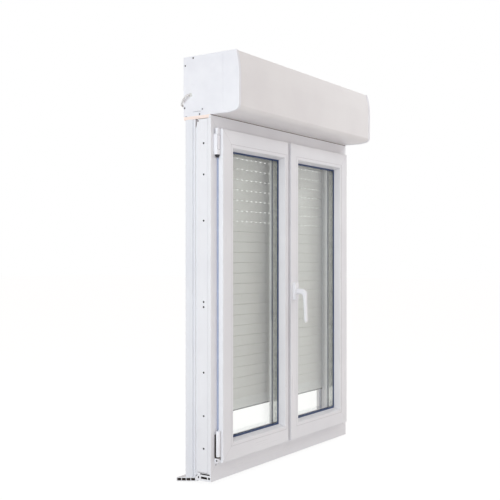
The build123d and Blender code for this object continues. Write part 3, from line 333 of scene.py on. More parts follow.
@dataclass(frozen=True)
class ProfilePvc(Finish):
    """White window PVC: satin, with faint draw lines and welded corners."""

    colour: Colour
    shade: Colour
    run: Run = Run.NONE
    roughness: float = 0.3
    seams: tuple[Seam, ...] = ()
    seam_tone: Colour = srgb(150, 148, 150)
    seam_share: float = 0.35
    seam_height: float = 3.0
    relief: float = 0.00008

    def seam_mask(self, graph: Graph) -> Value | None:
        """Finds the welded corners.

        Args:
            graph: The material's graph.

        Returns:
            1 along the middle of a seam and 0 away from it, or nothing without seams.
        """
        if not self.seams:
            return None
        across, _, up = graph.parts(graph.place())
        mask: Value | None = None
        for seam in self.seams:
            off_x = across - seam.x * MM
            off_z = up - seam.z * MM
            line = 1 - abs(off_x - off_z * seam.lean).fade(0.4 * seam.width * MM, seam.width * MM)
            near = 1 - abs(off_x).most(abs(off_z)).above(seam.reach * MM)
            found = line * near
            mask = found if mask is None else mask.most(found)
        return mask

    def surface(self, graph: Graph) -> bpy.types.NodeSocket:
        """Draws the shader.

        Args:
            graph: The material's graph.

        Returns:
            The shader.
        """
        cloud = graph.noise(CLOUDS)
        fine = graph.noise(FINE_GRAIN, detail=1.0)
        draw = graph.noise(DRAW_LINES, self.run.value, 2.0)
        height = fine * 0.3 + draw * 0.7
        tone = graph.mix(cloud.fade(0.35, 0.75) * 0.6 + draw * 0.2, self.colour, self.shade)
        seam = self.seam_mask(graph)
        if seam is not None:
            height = height - seam * self.seam_height
            tone = graph.mix(seam * self.seam_share, tone, self.seam_tone)
        return graph.shader(
            Base_Color=tone,
            Roughness=self.roughness + 0.12 * (cloud - 0.5) + 0.08 * (draw - 0.5),
            Specular_IOR_Level=0.5,
            Normal=graph.bump(height, self.relief, 0.5),
        )


@dataclass(frozen=True)
class SillPvc(Finish):
    """The sill's PVC: white outside, with painted shade in a dim brown down in its chambers."""

    colour: Colour
    shade: Colour
    inside: Colour
    nose_inside: Colour
    half_length: float = 499.95
    bands: tuple[Span, Span] = ((6.9, 14.6), (20.9, 25.6))
    body_edges: Span = (3.9, 57.6)
    nose_edges: Span = (68.4, 152.6)
    nose_band: Span = (2.4, 11.7)
    nose_start: float = 63.0
    nose_top: float = 9.0
    nose_slope: float = 0.1405
    shine: float = 0.08
    relief: float = 0.00008

    def band(self, value: Value, limits: Span, shift: float = 0.0) -> Value:
        """Gives 1 between two limits in millimetres and 0 elsewhere."""
        low, high = ((limit + shift) * MM for limit in limits)
        return value.above(low) * (1 - value.above(high))

    def surface(self, graph: Graph) -> bpy.types.NodeSocket:
        """Draws the shader.

        Args:
            graph: The material's graph.

        Returns:
            The shader.
        """
        across, depth, up = graph.parts(graph.place())
        cut_end = abs(across).above(self.half_length * MM)
        body = self.band(up, self.bands[0]).most(self.band(up, self.bands[1]))
        body = body * self.band(depth, self.body_edges, ROOM_FACE)
        under = self.nose_top * MM - (depth - (self.nose_start + ROOM_FACE) * MM) * self.nose_slope - up
        nose = self.band(under, self.nose_band) * self.band(depth, self.nose_edges, ROOM_FACE)
        # Painted shade: the walls down in the open chambers get a dim brown in place of the shade deep in the
        # cells.
        chambers, nose_chambers = body * (1 - cut_end), nose * (1 - cut_end)
        draw = graph.noise(DRAW_LINES, Run.WIDTH.value, 2.0)
        tone = graph.mix(graph.noise(CLOUDS) * 0.4 + draw * 0.2, self.colour, self.shade)
        return graph.shader(
            Base_Color=graph.mix(nose_chambers, graph.mix(chambers, tone, self.inside), self.nose_inside),
            Specular_IOR_Level=self.shine,
            Roughness=0.34 + 0.4 * chambers.most(nose_chambers) + 0.08 * (draw - 0.5),
            Normal=graph.bump(draw, self.relief, 0.4),
        )


@dataclass(frozen=True)
class MouldedPlastic(Finish):
    """Injection-moulded plastic with a fine spark-eroded grain."""

    colour: Colour
    shade: Colour
    roughness: float = 0.38
    grain: float = 900.0
    relief: float = 0.00005
    clouds: float = 11.0

    def surface(self, graph: Graph) -> bpy.types.NodeSocket:
        """Draws the shader.

        Args:
            graph: The material's graph.

        Returns:
            The shader.
        """
        cloud = graph.noise(self.clouds)
        grain = graph.noise(self.grain, detail=2.0)
        return graph.shader(
            Base_Color=graph.mix(cloud.fade(0.3, 0.75), self.colour, self.shade),
            Roughness=self.roughness + 0.14 * (grain - 0.5) + 0.08 * (cloud - 0.5),
            Normal=graph.bump(grain, self.relief, 0.7),
        )


@dataclass(frozen=True)
class Rubber(Finish):
    """Extruded rubber: dull, with a faint bloom and ribs along it."""

    colour: Colour
    bloom: Colour
    shine: float = 0.5
    roughness: float = 0.58
    grain: float = 1200.0
    relief: float = 0.00012
    clouds: float = 60.0

    def surface(self, graph: Graph) -> bpy.types.NodeSocket:
        """Draws the shader.

        Args:
            graph: The material's graph.

        Returns:
            The shader.
        """
        cloud = graph.noise(self.clouds, detail=4.0)
        grain = graph.noise(self.grain, detail=2.0)
        return graph.shader(
            Base_Color=graph.mix(cloud.fade(0.45, 0.8) * 0.7, self.colour, self.bloom),
            Specular_IOR_Level=self.shine,
            Roughness=self.roughness + 0.2 * (cloud - 0.5),
            Normal=graph.bump(grain * 0.6 + cloud * 0.4, self.relief, 0.8),
        )


@dataclass(frozen=True)
class CellFoam(Finish):
    """Closed-cell foam tape: matt, with small cells."""

    colour: Colour
    shade: Colour
    cells: float = 620.0
    clouds: float = 30.0
    roughness: float = 0.82
    relief: float = 0.0003

    def surface(self, graph: Graph) -> bpy.types.NodeSocket:
        """Draws the shader.

        Args:
            graph: The material's graph.

        Returns:
            The shader.
        """
        cells = graph.node("ShaderNodeTexVoronoi", None, {"Vector": graph.place(), "Scale": self.cells})
        cell = Value(graph, cells.outputs["Distance"])
        cloud = graph.noise(self.clouds)
        return graph.shader(
            Base_Color=graph.mix(cell.fade(0.1, 0.8) * 0.5 + cloud * 0.3, self.colour, self.shade),
            Roughness=self.roughness + 0.12 * (cloud - 0.5),
            Normal=graph.bump(cell, self.relief, 0.7),
        )


@dataclass(frozen=True)
class PaneGlass(Finish):
    """Clear float glass: it shows what is behind it in place, and mirrors more at a slant."""

    tint: Colour
    straight_on: float = 0.045
    at_a_slant: float = 0.85
    falloff: float = 4.0
    roughness: float = 0.02

    def surface(self, graph: Graph) -> bpy.types.NodeSocket:
        """Draws the shader.

        Args:
            graph: The material's graph.

        Returns:
            The shader.
        """
        slant = Value(graph, graph.node("ShaderNodeLayerWeight", None, {"Blend": 0.5}).outputs["Facing"])
        mirror = self.straight_on + self.at_a_slant * slant.power(self.falloff)
        clear = graph.node("ShaderNodeBsdfTransparent", None, {"Color": self.tint})
        gloss = graph.node("ShaderNodeBsdfGlossy", None, {"Color": WHITE, "Roughness": self.roughness})
        shadow = Value(graph, graph.node("ShaderNodeLightPath").outputs["Is Shadow Ray"])
        return graph.blend(mirror * (1 - shadow), clear, gloss)


@dataclass(frozen=True)
class PlatedSteel(Finish):
    """Zinc-plated steel: a dull spangle with streaks."""

    bright: Colour
    dull: Colour
    roughness: float = 0.38
    spangle: float = 160.0
    smears: float = 40.0
    relief: float = 0.0001

    def surface(self, graph: Graph) -> bpy.types.NodeSocket:
        """Draws the shader.

        Args:
            graph: The material's graph.

        Returns:
            The shader.
        """
        flakes = graph.node("ShaderNodeTexVoronoi", None, {"Vector": graph.place(), "Scale": self.spangle})
        flake = graph.parts(flakes.outputs["Color"])[0]
        smear = graph.noise(self.smears, detail=5.0)
        return graph.shader(
            Base_Color=graph.mix(flake * 0.5 + smear * 0.5, self.bright, self.dull),
            Metallic=1.0,
            Roughness=self.roughness + 0.16 * (flake - 0.5) + 0.2 * (smear - 0.5),
            Normal=graph.bump(smear, self.relief, 0.4),
        )


@dataclass(frozen=True)
class SpacerMetal(Finish):
    """The spacer between the panes: anodised, with a row of breather holes painted on as dark dots, painted
    shade of holes that are not modelled.
    """

    colour: Colour
    shade: Colour
    hole_shade_tone: Colour = srgb(30, 30, 28)
    hole_pitch: float = 2.4
    hole_depth: float = 17.0
    hole_edge: Span = (0.3, 0.5)
    smears: float = 70.0
    roughness: float = 0.16
    relief: float = 0.0001

    def surface(self, graph: Graph) -> bpy.types.NodeSocket:
        """Draws the shader.

        Args:
            graph: The material's graph.

        Returns:
            The shader.
        """
        across, depth, up = graph.parts(graph.place())
        along = (across + up).wrap(self.hole_pitch * MM)
        middle = abs(depth - (self.hole_depth + ROOM_FACE) * MM)
        start, end = (edge * MM for edge in self.hole_edge)
        # Painted shade: each breather hole is a dark dot.
        painted_hole = (1 - along.fade(start, end)) * (1 - middle.fade(start, end))
        smear = graph.noise(self.smears)
        tone = graph.mix(smear.fade(0.3, 0.8), self.colour, self.shade)
        return graph.shader(
            Base_Color=graph.mix(painted_hole * 0.8, tone, self.hole_shade_tone),
            Metallic=1.0,
            Roughness=self.roughness + 0.08 * (smear - 0.5),
            Normal=graph.bump(smear * 0.2 - painted_hole, self.relief, 0.4),
        )


@dataclass(frozen=True)
class StudioFloor(Finish):
    """A pale floor that looks white and still takes the object's shadow."""

    own: float = 0.86
    grey: Colour = (0.86, 0.86, 0.86, 1.0)
    glow: float = 1.1

    def surface(self, graph: Graph) -> bpy.types.NodeSocket:
        """Draws the shader.

        Args:
            graph: The material's graph.

        Returns:
            The shader.
        """
        matt = graph.node("ShaderNodeBsdfDiffuse", None, {"Color": self.grey})
        white = graph.node("ShaderNodeEmission", None, {"Color": WHITE, "Strength": self.glow})
        return graph.blend(graph.seen() * self.own, matt, white)


def wear(nodes: Iterable[str], material: bpy.types.Material) -> None:
    """Gives CAD nodes their finish.

    Args:
        nodes: Names of the nodes.
        material: Their material.
    """
    for name in nodes:
        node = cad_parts[name]
        if not node.material_slots:
            node.data.materials.append(material)
        for slot in node.material_slots:
            slot.material = material


def circle(centre: Vector, first: Vector, second: Vector, radius: float, sides: int) -> list[Vector]:
    """Gives points round a circle.

    Args:
        centre: Its middle, in metres.
        first: The direction of its first point.
        second: The direction of the point a quarter further.
        radius: Its radius in millimetres.
        sides: How many points it has.

    Returns:
        The points, in order.
    """
    turns = (2 * math.pi * step / sides for step in range(sides))
    return [centre + (first * math.cos(turn) + second * math.sin(turn)) * (radius * MM) for turn in turns]


class Solid:
    """A mesh that is built from simple closed forms, in millimetres."""

    def __init__(self) -> None:
        """Starts an empty mesh."""
        self.mesh = bmesh.new()

    def block(self, x: Span, depth: Span, z: Span) -> "Solid":
        """Adds a block between two places along the width, two depths and two heights."""
        outline = [(depth[0], z[0]), (depth[1], z[0]), (depth[1], z[1]), (depth[0], z[1])]
        return self.bar(outline, x)

    def bar(self, outline: Sequence[Span], x: Span) -> "Solid":
        """Adds a bar along the width, from its section in depth and height and its two ends."""
        return self.loft([[at(end, depth, z) for depth, z in outline] for end in x])

    def skin(self, first: Sequence[bmesh.types.BMVert], second: Sequence[bmesh.types.BMVert]) -> None:
        """Joins two closed rows of points with faces.

        Args:
            first: The points of one row.
            second: The points of the other row, as many.
        """
        for index, point in enumerate(first):
            after = (index + 1) % len(first)
            self.mesh.faces.new((point, first[after], second[after], second[index]))

    def loft(self, rows: Sequence[Sequence[Vector]], hollow: bool = False) -> "Solid":
        """Adds a form through rows of points.

        Args:
            rows: Points in metres, with the same number in each row.
            hollow: Whether the last row joins the first one, in place of two end faces.

        Returns:
            This mesh.
        """
        made = [[self.mesh.verts.new(point) for point in row] for row in rows]
        if not hollow:
            self.mesh.faces.new(made[0])
            self.mesh.faces.new(list(reversed(made[-1])))
        for first, second in zip(made, made[1:] + (made[:1] if hollow else [])):
            self.skin(first, second)
        return self

    def turned(self, centre: Vector, axis: Vector, rings: Sequence[Span], sides: int = 32) -> "Solid":
        """Adds a round form.

        Args:
            centre: Where its axis starts, in metres.
            axis: The direction of its axis.
            rings: Distances along the axis and radii, in millimetres.
            sides: How many points go round.

        Returns:
            This mesh.
        """
        axis = axis.normalized()
        side = axis.orthogonal().normalized()
        other = axis.cross(side)
        return self.loft([circle(centre + axis * (along * MM), side, other, radius, sides)
                          for along, radius in rings])

    def soften(self, width: float, segments: int = 2) -> "Solid":
        """Rounds the sharp edges.

        Args:
            width: The rounding's size in millimetres.
            segments: How many faces it has.

        Returns:
            This mesh.
        """
        bmesh.ops.recalc_face_normals(self.mesh, faces=self.mesh.faces)
        sharp = [edge for edge in self.mesh.edges if edge.calc_face_angle(0.0) > SOFTEN_OVER]
        bmesh.ops.bevel(self.mesh, geom=sharp, offset=width * MM, offset_type="OFFSET", segments=segments,
                        profile=0.6, affect="EDGES", clamp_overlap=True)
        return self

    def piece(self, name: str, material: bpy.types.Material, body: str, slot: str,
              replaces: Sequence[str] = ()) -> bpy.types.Object:
        """Makes a piece of the object from this mesh.

        Args:
            name: The piece's name.
            material: Its material.
            body: The body that it rides on.
            slot: The record's material slot; not used.
            replaces: The CAD nodes that it stands for.

        Returns:
            The piece.
        """
        bmesh.ops.recalc_face_normals(self.mesh, faces=self.mesh.faces)
        mesh = bpy.data.meshes.new(name)
        self.mesh.to_mesh(mesh)
        self.mesh.free()
        mesh.polygons.foreach_set("use_smooth", [True] * len(mesh.polygons))
        mesh.set_sharp_from_angle(angle=SHARP_OVER)
        mesh.materials.append(material)
        return mount(bpy.data.objects.new(name, mesh), body, replaces)


def mount(piece: bpy.types.Object, body: str, replaces: Sequence[str] = ()) -> bpy.types.Object:
    """Puts a piece into the scene, on its body.

    Args:
        piece: The piece, in place.
        body: The body that it rides on, or nothing for a piece that rides on none.
        replaces: The CAD nodes that it stands for.

    Returns:
        The piece.
    """
    if piece.name not in bpy.context.scene.objects:
        bpy.context.scene.collection.objects.link(piece)
    if body:
        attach(piece, body)
    if replaces:
        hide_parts(*replaces)
    log.info("piece %s on %s", piece.name, body or "two bodies")
    return piece


@dataclass
class PhotoCamera:
    """The camera, standing level to the left of the unit and looking at its middle."""

    place: Point = (-2.8929, -1.8315, 0.7796)
    turn: float = -55.72
    lens: float = 61.547
    lift: float = 0.0189
    sensor: float = 36.0
    reach: float = 100.0

    def build(self) -> None:
        """Makes the camera and hands it to the scene."""
        data = bpy.data.cameras.new("photo_camera")
        data.lens = self.lens
        data.sensor_width = self.sensor
        data.shift_y = self.lift
        data.clip_end = self.reach
        camera = bpy.data.objects.new("photo_camera", data)
        camera.location = self.place
        camera.rotation_euler = (math.radians(90), 0.0, math.radians(self.turn))
        bpy.context.scene.collection.objects.link(camera)
        bpy.context.scene.camera = camera
        log.info("camera is in place")


@dataclass
class Assembly:
    """A sub-assembly that is dressed in the unit's finishes."""

    finishes: "Finishes"


@dataclass
class MotorCable(Assembly):
    """The motor's mains lead: out of the end cap, round its edge and into a tied coil behind the box."""

    diameter: float = 6.5
    length: float = 2.466
    off_wall: float = 1.8
    coil_x: float = -400.0
    coil_z: float = 1375.0
    coil_depth: float = 124.05
    outer: float = 46.8125
    wind: float = 8.3125
    turns: float = 9.5
    layers: int = 4
    layer_gap: float = 7.0
    climb_half: float = 0.25
    points_a_turn: int = 16
    smooth: int = 6
    tie_angles: tuple[tuple[str, float], ...] = (("coil_tie_left", -68.0), ("coil_tie_right", 112.0))
    tie_half: float = 2.4
    tie_thickness: float = 1.2
    tie_rounding: Span = (4.0, 5.0)
    tie_slack: Point = (0.5, 0.15, 0.6)
    head_place: Span = (2.6, 9.0)
    head_half: Span = (3.6, 2.9)
    head_rows: tuple[Span, ...] = ((-2.2, 1.0), (1.6, 1.0), (2.4, 0.8))
    core_radius: float = 1.15
    core_length: float = 28.0
    core_inside: float = 1.5
    core_spread: Span = (1.25, 1.5)
    core_steps: int = 8
    ferrule_start: float = 25.5
    ferrule: tuple[Span, ...] = ((0, 1.35), (2.2, 1.35), (2.6, 0.85), (8.2, 0.85), (8.6, 0.6))
    route: tuple[Point, ...] = (
        (-501.5, 91.0, 1364.0),
        (-508.5, 91.0, 1364.0),
        (-513.5, 95.0, 1362.0),
        (-515.0, 104.5, 1355.5),
        (-513.0, 114.5, 1347.0),
        (-507.5, 125.5, 1336.0),
        (-497.0, 132.0, 1330.0),
        (-474.0, 132.0, 1328.0),
        (-442.0, 125.85, 1328.19),
        (-406.5, 125.85, 1328.19),
    )

    def coil_point(self, turn: float) -> Vector:
        """Gives the coil's middle line.

        Args:
            turn: How many turns have been wound.

        Returns:
            The point after that many turns.
        """
        a_layer = self.turns / self.layers
        layer = min(int(turn / a_layer), self.layers - 1)
        share = turn / a_layer - layer
        inward = share if layer % 2 == 0 else 1 - share
        radius = self.outer - 2 * self.wind * inward
        climb = 0.0
        for step in range(1, self.layers):
            reach = (turn - step * a_layer + self.climb_half) / (2 * self.climb_half)
            climb += (1 - math.cos(math.pi * max(0.0, min(1.0, reach)))) / 2
        angle = 2 * math.pi * turn
        depth = self.coil_depth + self.off_wall + climb * self.layer_gap
        return at(self.coil_x + radius * math.sin(angle), depth, self.coil_z - radius * math.cos(angle))

    def build_line(self) -> bpy.types.Object:
        """Makes the lead as one smooth curve.

        Returns:
            The curve.
        """
        data = bpy.data.curves.new("motor_lead", "CURVE")
        data.dimensions = "3D"
        data.bevel_depth = self.diameter / 2 * MM
        data.bevel_resolution = self.smooth
        data.resolution_u = self.smooth
        data.use_fill_caps = True
        data.materials.append(self.finishes.cable)
        count = int(self.turns * self.points_a_turn)
        coil = [self.coil_point(self.turns * step / count) for step in range(count + 1)]
        points = [at(*point) for point in self.route] + coil
        spline = data.splines.new("NURBS")
        spline.points.add(len(points) - 1)
        for spot, point in zip(spline.points, points):
            spot.co = (*point, 1.0)
        spline.order_u = 3
        spline.use_endpoint_u = True
        lead = bpy.data.objects.new("motor_lead", data)
        return mount(lead, "window_frame", ["motor_cable", "motor_cable_coil"])

    def build_ties(self) -> list[bpy.types.Object]:
        """Makes two bands that hold the turns, each with a ratchet head.

        Returns:
            The bands.
        """
        made = []
        near = self.coil_depth + self.off_wall - self.diameter / 2
        far = near + (self.layers - 1) * self.layer_gap + self.diameter
        slack, near_slack, far_slack = self.tie_slack
        half = self.wind + self.diameter / 2 + slack
        inner = self.band_outline(half, near - near_slack, far + far_slack, self.tie_rounding[0])
        outer = self.band_outline(half + self.tie_thickness, near - near_slack - self.tie_thickness,
                                  far + far_slack + self.tie_thickness, self.tie_rounding[1])
        edges = [(-self.tie_half, inner), (-self.tie_half, outer),
                 (self.tie_half, outer), (self.tie_half, inner)]
        for name, degrees in self.tie_angles:
            angle = math.radians(degrees)
            outward = Vector((math.sin(angle), 0, -math.cos(angle)))
            along = Vector((math.cos(angle), 0, math.sin(angle)))
            centre = at(self.coil_x, 0, self.coil_z) + outward * (self.outer - self.wind) * MM
            rows = [[centre + outward * out * MM + BACK * depth * MM + along * offset * MM
                     for out, depth in outline] for offset, outline in edges]
            solid = Solid().loft(rows, hollow=True)
            head_out, head_back = self.head_place
            head = centre + outward * (half + head_out) * MM + BACK * (near + head_back) * MM
            self.add_head(solid, head, outward, along)
            made.append(solid.piece(name, self.finishes.strap, "window_frame", "strap_plastic"))
        return made

    def band_outline(self, half: float, near: float, far: float, radius: float) -> list[Span]:
        """Draws a rounded rectangle round the wound turns.

        Args:
            half: Half its size along the coil's radius.
            near: Its depth next to the box.
            far: Its depth away from the box.
            radius: Its corners' radius.

        Returns:
            Points as distance outward and depth.
        """
        points = []
        for out, depth, start in ((half, far, 0), (-half, far, 90), (-half, near, 180), (half, near, 270)):
            centre_out = out - math.copysign(radius, out)
            centre_depth = depth - radius if depth == far else depth + radius
            for step in range(6):
                turn = math.radians(start + step * 18)
                points.append((centre_out + radius * math.cos(turn), centre_depth + radius * math.sin(turn)))
        return points

    def add_head(self, solid: Solid, centre: Vector, outward: Vector, along: Vector) -> None:
        """Adds the ratchet head of a tie.

        Args:
            solid: The mesh to add it to.
            centre: The head's middle.
            outward: The direction away from the coil's middle.
            along: The direction along the turns.
        """
        half_depth, half_along = self.head_half
        corners = [(-half_depth, -half_along), (half_depth, -half_along), (half_depth, half_along),
                   (-half_depth, half_along)]
        solid.loft([[centre + outward * out * MM + (BACK * first + along * second) * scale * MM
                     for first, second in corners] for out, scale in self.head_rows])

    def build_end(self) -> list[bpy.types.Object]:
        """Makes the stripped end: four cores with ferrules.

        Returns:
            The pieces of the end.
        """
        end = self.coil_point(self.turns)
        ahead = (end - self.coil_point(self.turns - 0.01)).normalized()
        start_spread, more_spread = self.core_spread
        made, ferrules = [], Solid()
        for index, (name, material) in enumerate(self.finishes.cores.items()):
            angle = math.pi / 4 + index * math.pi / 2
            spread = UP * math.sin(angle) + BACK * math.cos(angle)
            rows = []
            for step in range(self.core_steps + 1):
                share = step / self.core_steps
                centre = end + ahead * (self.core_length * share - self.core_inside) * MM
                centre += spread * (start_spread + more_spread * share * share) * MM
                rows.append(circle(centre, UP, BACK, self.core_radius, 14))
            made.append(Solid().loft(rows).piece(name, material, "window_frame", "cable_pvc"))
            tip = end + ahead * self.ferrule_start * MM + spread * (start_spread + more_spread) * MM
            ferrules.turned(tip, ahead, self.ferrule, 16)
        made.append(ferrules.piece("cable_ferrules", self.finishes.screw, "window_frame", "motor_metal"))
        return made

    def build(self) -> None:
        lead = self.build_line()
        carried = self.build_ties() + self.build_end()
        tuple(at(*self.route[0]))


@dataclass
class Finishes:
    """Every finish of the unit, made once."""

    profile: dict[Run, bpy.types.Material] = field(init=False)
    sash: dict[Run, bpy.types.Material] = field(init=False)
    cores: dict[str, bpy.types.Material] = field(init=False)

    def __post_init__(self) -> None:
        """Makes the materials."""
        white, shade = srgb(238, 238, 241), srgb(229, 229, 233)
        self.profile = self.welded("frame_pvc", white, shade, 500.0, (27.0, 1277.0))
        self.sash = self.welded("sash_pvc", white, shade, 463.2, (63.8, 1240.2))
        self.guide = ProfilePvc("guide_pvc", srgb(233, 234, 238), srgb(224, 225, 231), Run.HEIGHT).material()
        # The two browns are painted shade down in the sill's chambers.
        self.sill = SillPvc("sill_pvc", white, shade, srgb(60, 50, 44), srgb(118, 105, 96)).material()
        self.box = ProfilePvc("box_pvc", srgb(238, 236, 236), srgb(230, 227, 228), Run.WIDTH, 0.4).material()
        self.slat = ProfilePvc(
            "slat_pvc", srgb(222, 222, 218), srgb(212, 212, 207), Run.WIDTH, 0.42).material()
        self.end_slat = ProfilePvc(
            "end_slat_pvc", srgb(228, 230, 228), srgb(220, 222, 219), Run.WIDTH, 0.38).material()
        self.cap = MouldedPlastic("cap_plastic", srgb(240, 240, 244), srgb(233, 233, 238), 0.42).material()
        self.hardware = MouldedPlastic(
            "hardware_white", srgb(244, 244, 247), srgb(238, 238, 242), 0.26, 1500.0, 0.00002).material()
        self.grey_plastic = MouldedPlastic(
            "grey_plastic", srgb(150, 150, 156), srgb(136, 136, 142), 0.5).material()
        # A grey strip over the bead joint: painted shade of the gap.
        self.joint = MouldedPlastic(
            "joint_shadow", srgb(196, 194, 196), srgb(180, 178, 180), 0.6).material()
        self.mould_line = MouldedPlastic("mould_line", srgb(222, 223, 228), srgb(214, 215, 220)).material()
        self.strap = MouldedPlastic(
            "strap_plastic", srgb(226, 226, 222), srgb(210, 210, 205), 0.5).material()
        self.cable = MouldedPlastic(
            "cable_sheath", srgb(222, 220, 218), srgb(206, 204, 202), 0.45, 700.0, 0.00004).material()
        self.foam = CellFoam("seating_foam", srgb(255, 240, 232), srgb(246, 224, 212)).material()
        self.seal = Rubber("grey_seal", srgb(164, 174, 200), srgb(180, 189, 212)).material()
        # Dark brown: painted shade on the seal in the joint under the box; the seal's loose end in the groove
        # wears it too.
        self.brown_rubber = Rubber("brown_seal", srgb(108, 92, 92), srgb(134, 118, 116)).material()
        # Also the dark wedge under the upper hinge's cover, which is painted shade there.
        self.dark_rubber = Rubber("dark_seal", srgb(46, 46, 52), srgb(66, 66, 74)).material()
        # Painted shade: dark brown in the lower hinge's gap and under its sleeve.
        self.hinge_shade_dark = Rubber("hinge_shade_dark", srgb(50, 42, 38), srgb(66, 58, 54), 0.1).material()
        # Painted shade for the inside of the fixing holes.
        self.hollow = Rubber("hole_shade_dark", srgb(22, 22, 25), srgb(34, 33, 36), 0.04).material()
        self.gasket = Rubber("blue_gasket", srgb(44, 62, 100), srgb(66, 88, 132)).material()
        self.glass = PaneGlass("float_glass", (0.994, 0.998, 0.993, 1.0)).material()
        self.spacer = SpacerMetal("spacer_metal", srgb(206, 208, 204), srgb(184, 186, 182)).material()
        self.steel = PlatedSteel("zinc_steel", srgb(190, 193, 196), srgb(142, 146, 150)).material()
        self.screw = PlatedSteel(
            "screw_steel", srgb(120, 118, 116), srgb(84, 82, 80), 0.42, 500.0).material()
        self.motor = PlatedSteel(
            "motor_metal", srgb(206, 207, 208), srgb(170, 172, 175), 0.32, 80.0).material()
        cores = {
            "core_brown": (srgb(112, 66, 40), srgb(92, 52, 32)),
            "core_blue": (srgb(44, 88, 168), srgb(34, 70, 140)),
            "core_black": (srgb(34, 34, 36), srgb(24, 24, 26)),
            "core_green": (srgb(96, 150, 52), srgb(214, 200, 52)),
        }
        self.cores = {name: MouldedPlastic(name, *pair, 0.4).material() for name, pair in cores.items()}

    def welded(self, name: str, colour: Colour, shade: Colour, half: float,
               heights: Span) -> dict[Run, bpy.types.Material]:
        """Makes the finish of a welded ring of profiles.

        Args:
            name: The start of the materials' names.
            colour: The profile's colour.
            shade: The colour of its dimmer spots.
            half: Half the ring's width, in millimetres.
            heights: The heights of its lower and upper edge.

        Returns:
            A material for each direction that a profile is drawn in.
        """
        low, high = heights
        seams = (Seam(-half, high, -1), Seam(half, high, 1), Seam(-half, low, 1), Seam(half, low, -1))
        return {run: ProfilePvc(f"{name}_{run.name.lower()}", colour, shade, run, seams=seams).material()
                for run in Run}


@dataclass(frozen=True)
class Screw:
    """A screw with a cross recess in its head; its rows are shares of the head's height and radius."""

    radius: float
    height: float
    shank: float = 0.0
    points: int = 32
    arm: tuple[int, ...] = (0, 1, 7)
    waist: float = 0.34
    head: tuple[Span, ...] = ((0.0, 1.0), (0.55, 1.0), (0.9, 0.86), (1.0, 0.66))
    recess: tuple[Span, ...] = ((1.0, 0.58), (0.25, 0.42))
    neck: float = 0.5
    point: float = 0.3

    def rows(self) -> list[tuple[float, float, bool]]:
        """Lists the rows from the tip to the recess.

        Returns:
            For each row its place, its reach and whether it has the cross's outline.
        """
        rows = [(along, reach, False) for along, reach in self.head]
        rows += [(along, reach, True) for along, reach in self.recess]
        if self.shank:
            rows = [(-self.shank / self.height, self.point, False), (-1.0 / self.height, self.neck, False),
                    (-0.01, self.neck, False)] + rows
        return rows

    def add(self, solid: Solid, seat: Vector, outward: Vector) -> None:
        """Adds the screw to a mesh.

        Args:
            solid: The mesh to add it to.
            seat: The middle of the head's underside, in metres.
            outward: The direction that the head faces.
        """
        side = outward.orthogonal().normalized()
        other = outward.cross(side)
        rows = []
        for along, share, crossed in self.rows():
            row = []
            for step in range(self.points):
                reach = share * self.waist if crossed and step % 8 not in self.arm else share
                turn = 2 * math.pi * step / self.points
                row.append(seat + outward * (along * self.height * MM)
                           + (side * math.cos(turn) + other * math.sin(turn)) * (reach * self.radius * MM))
            rows.append(row)
        solid.loft(rows)


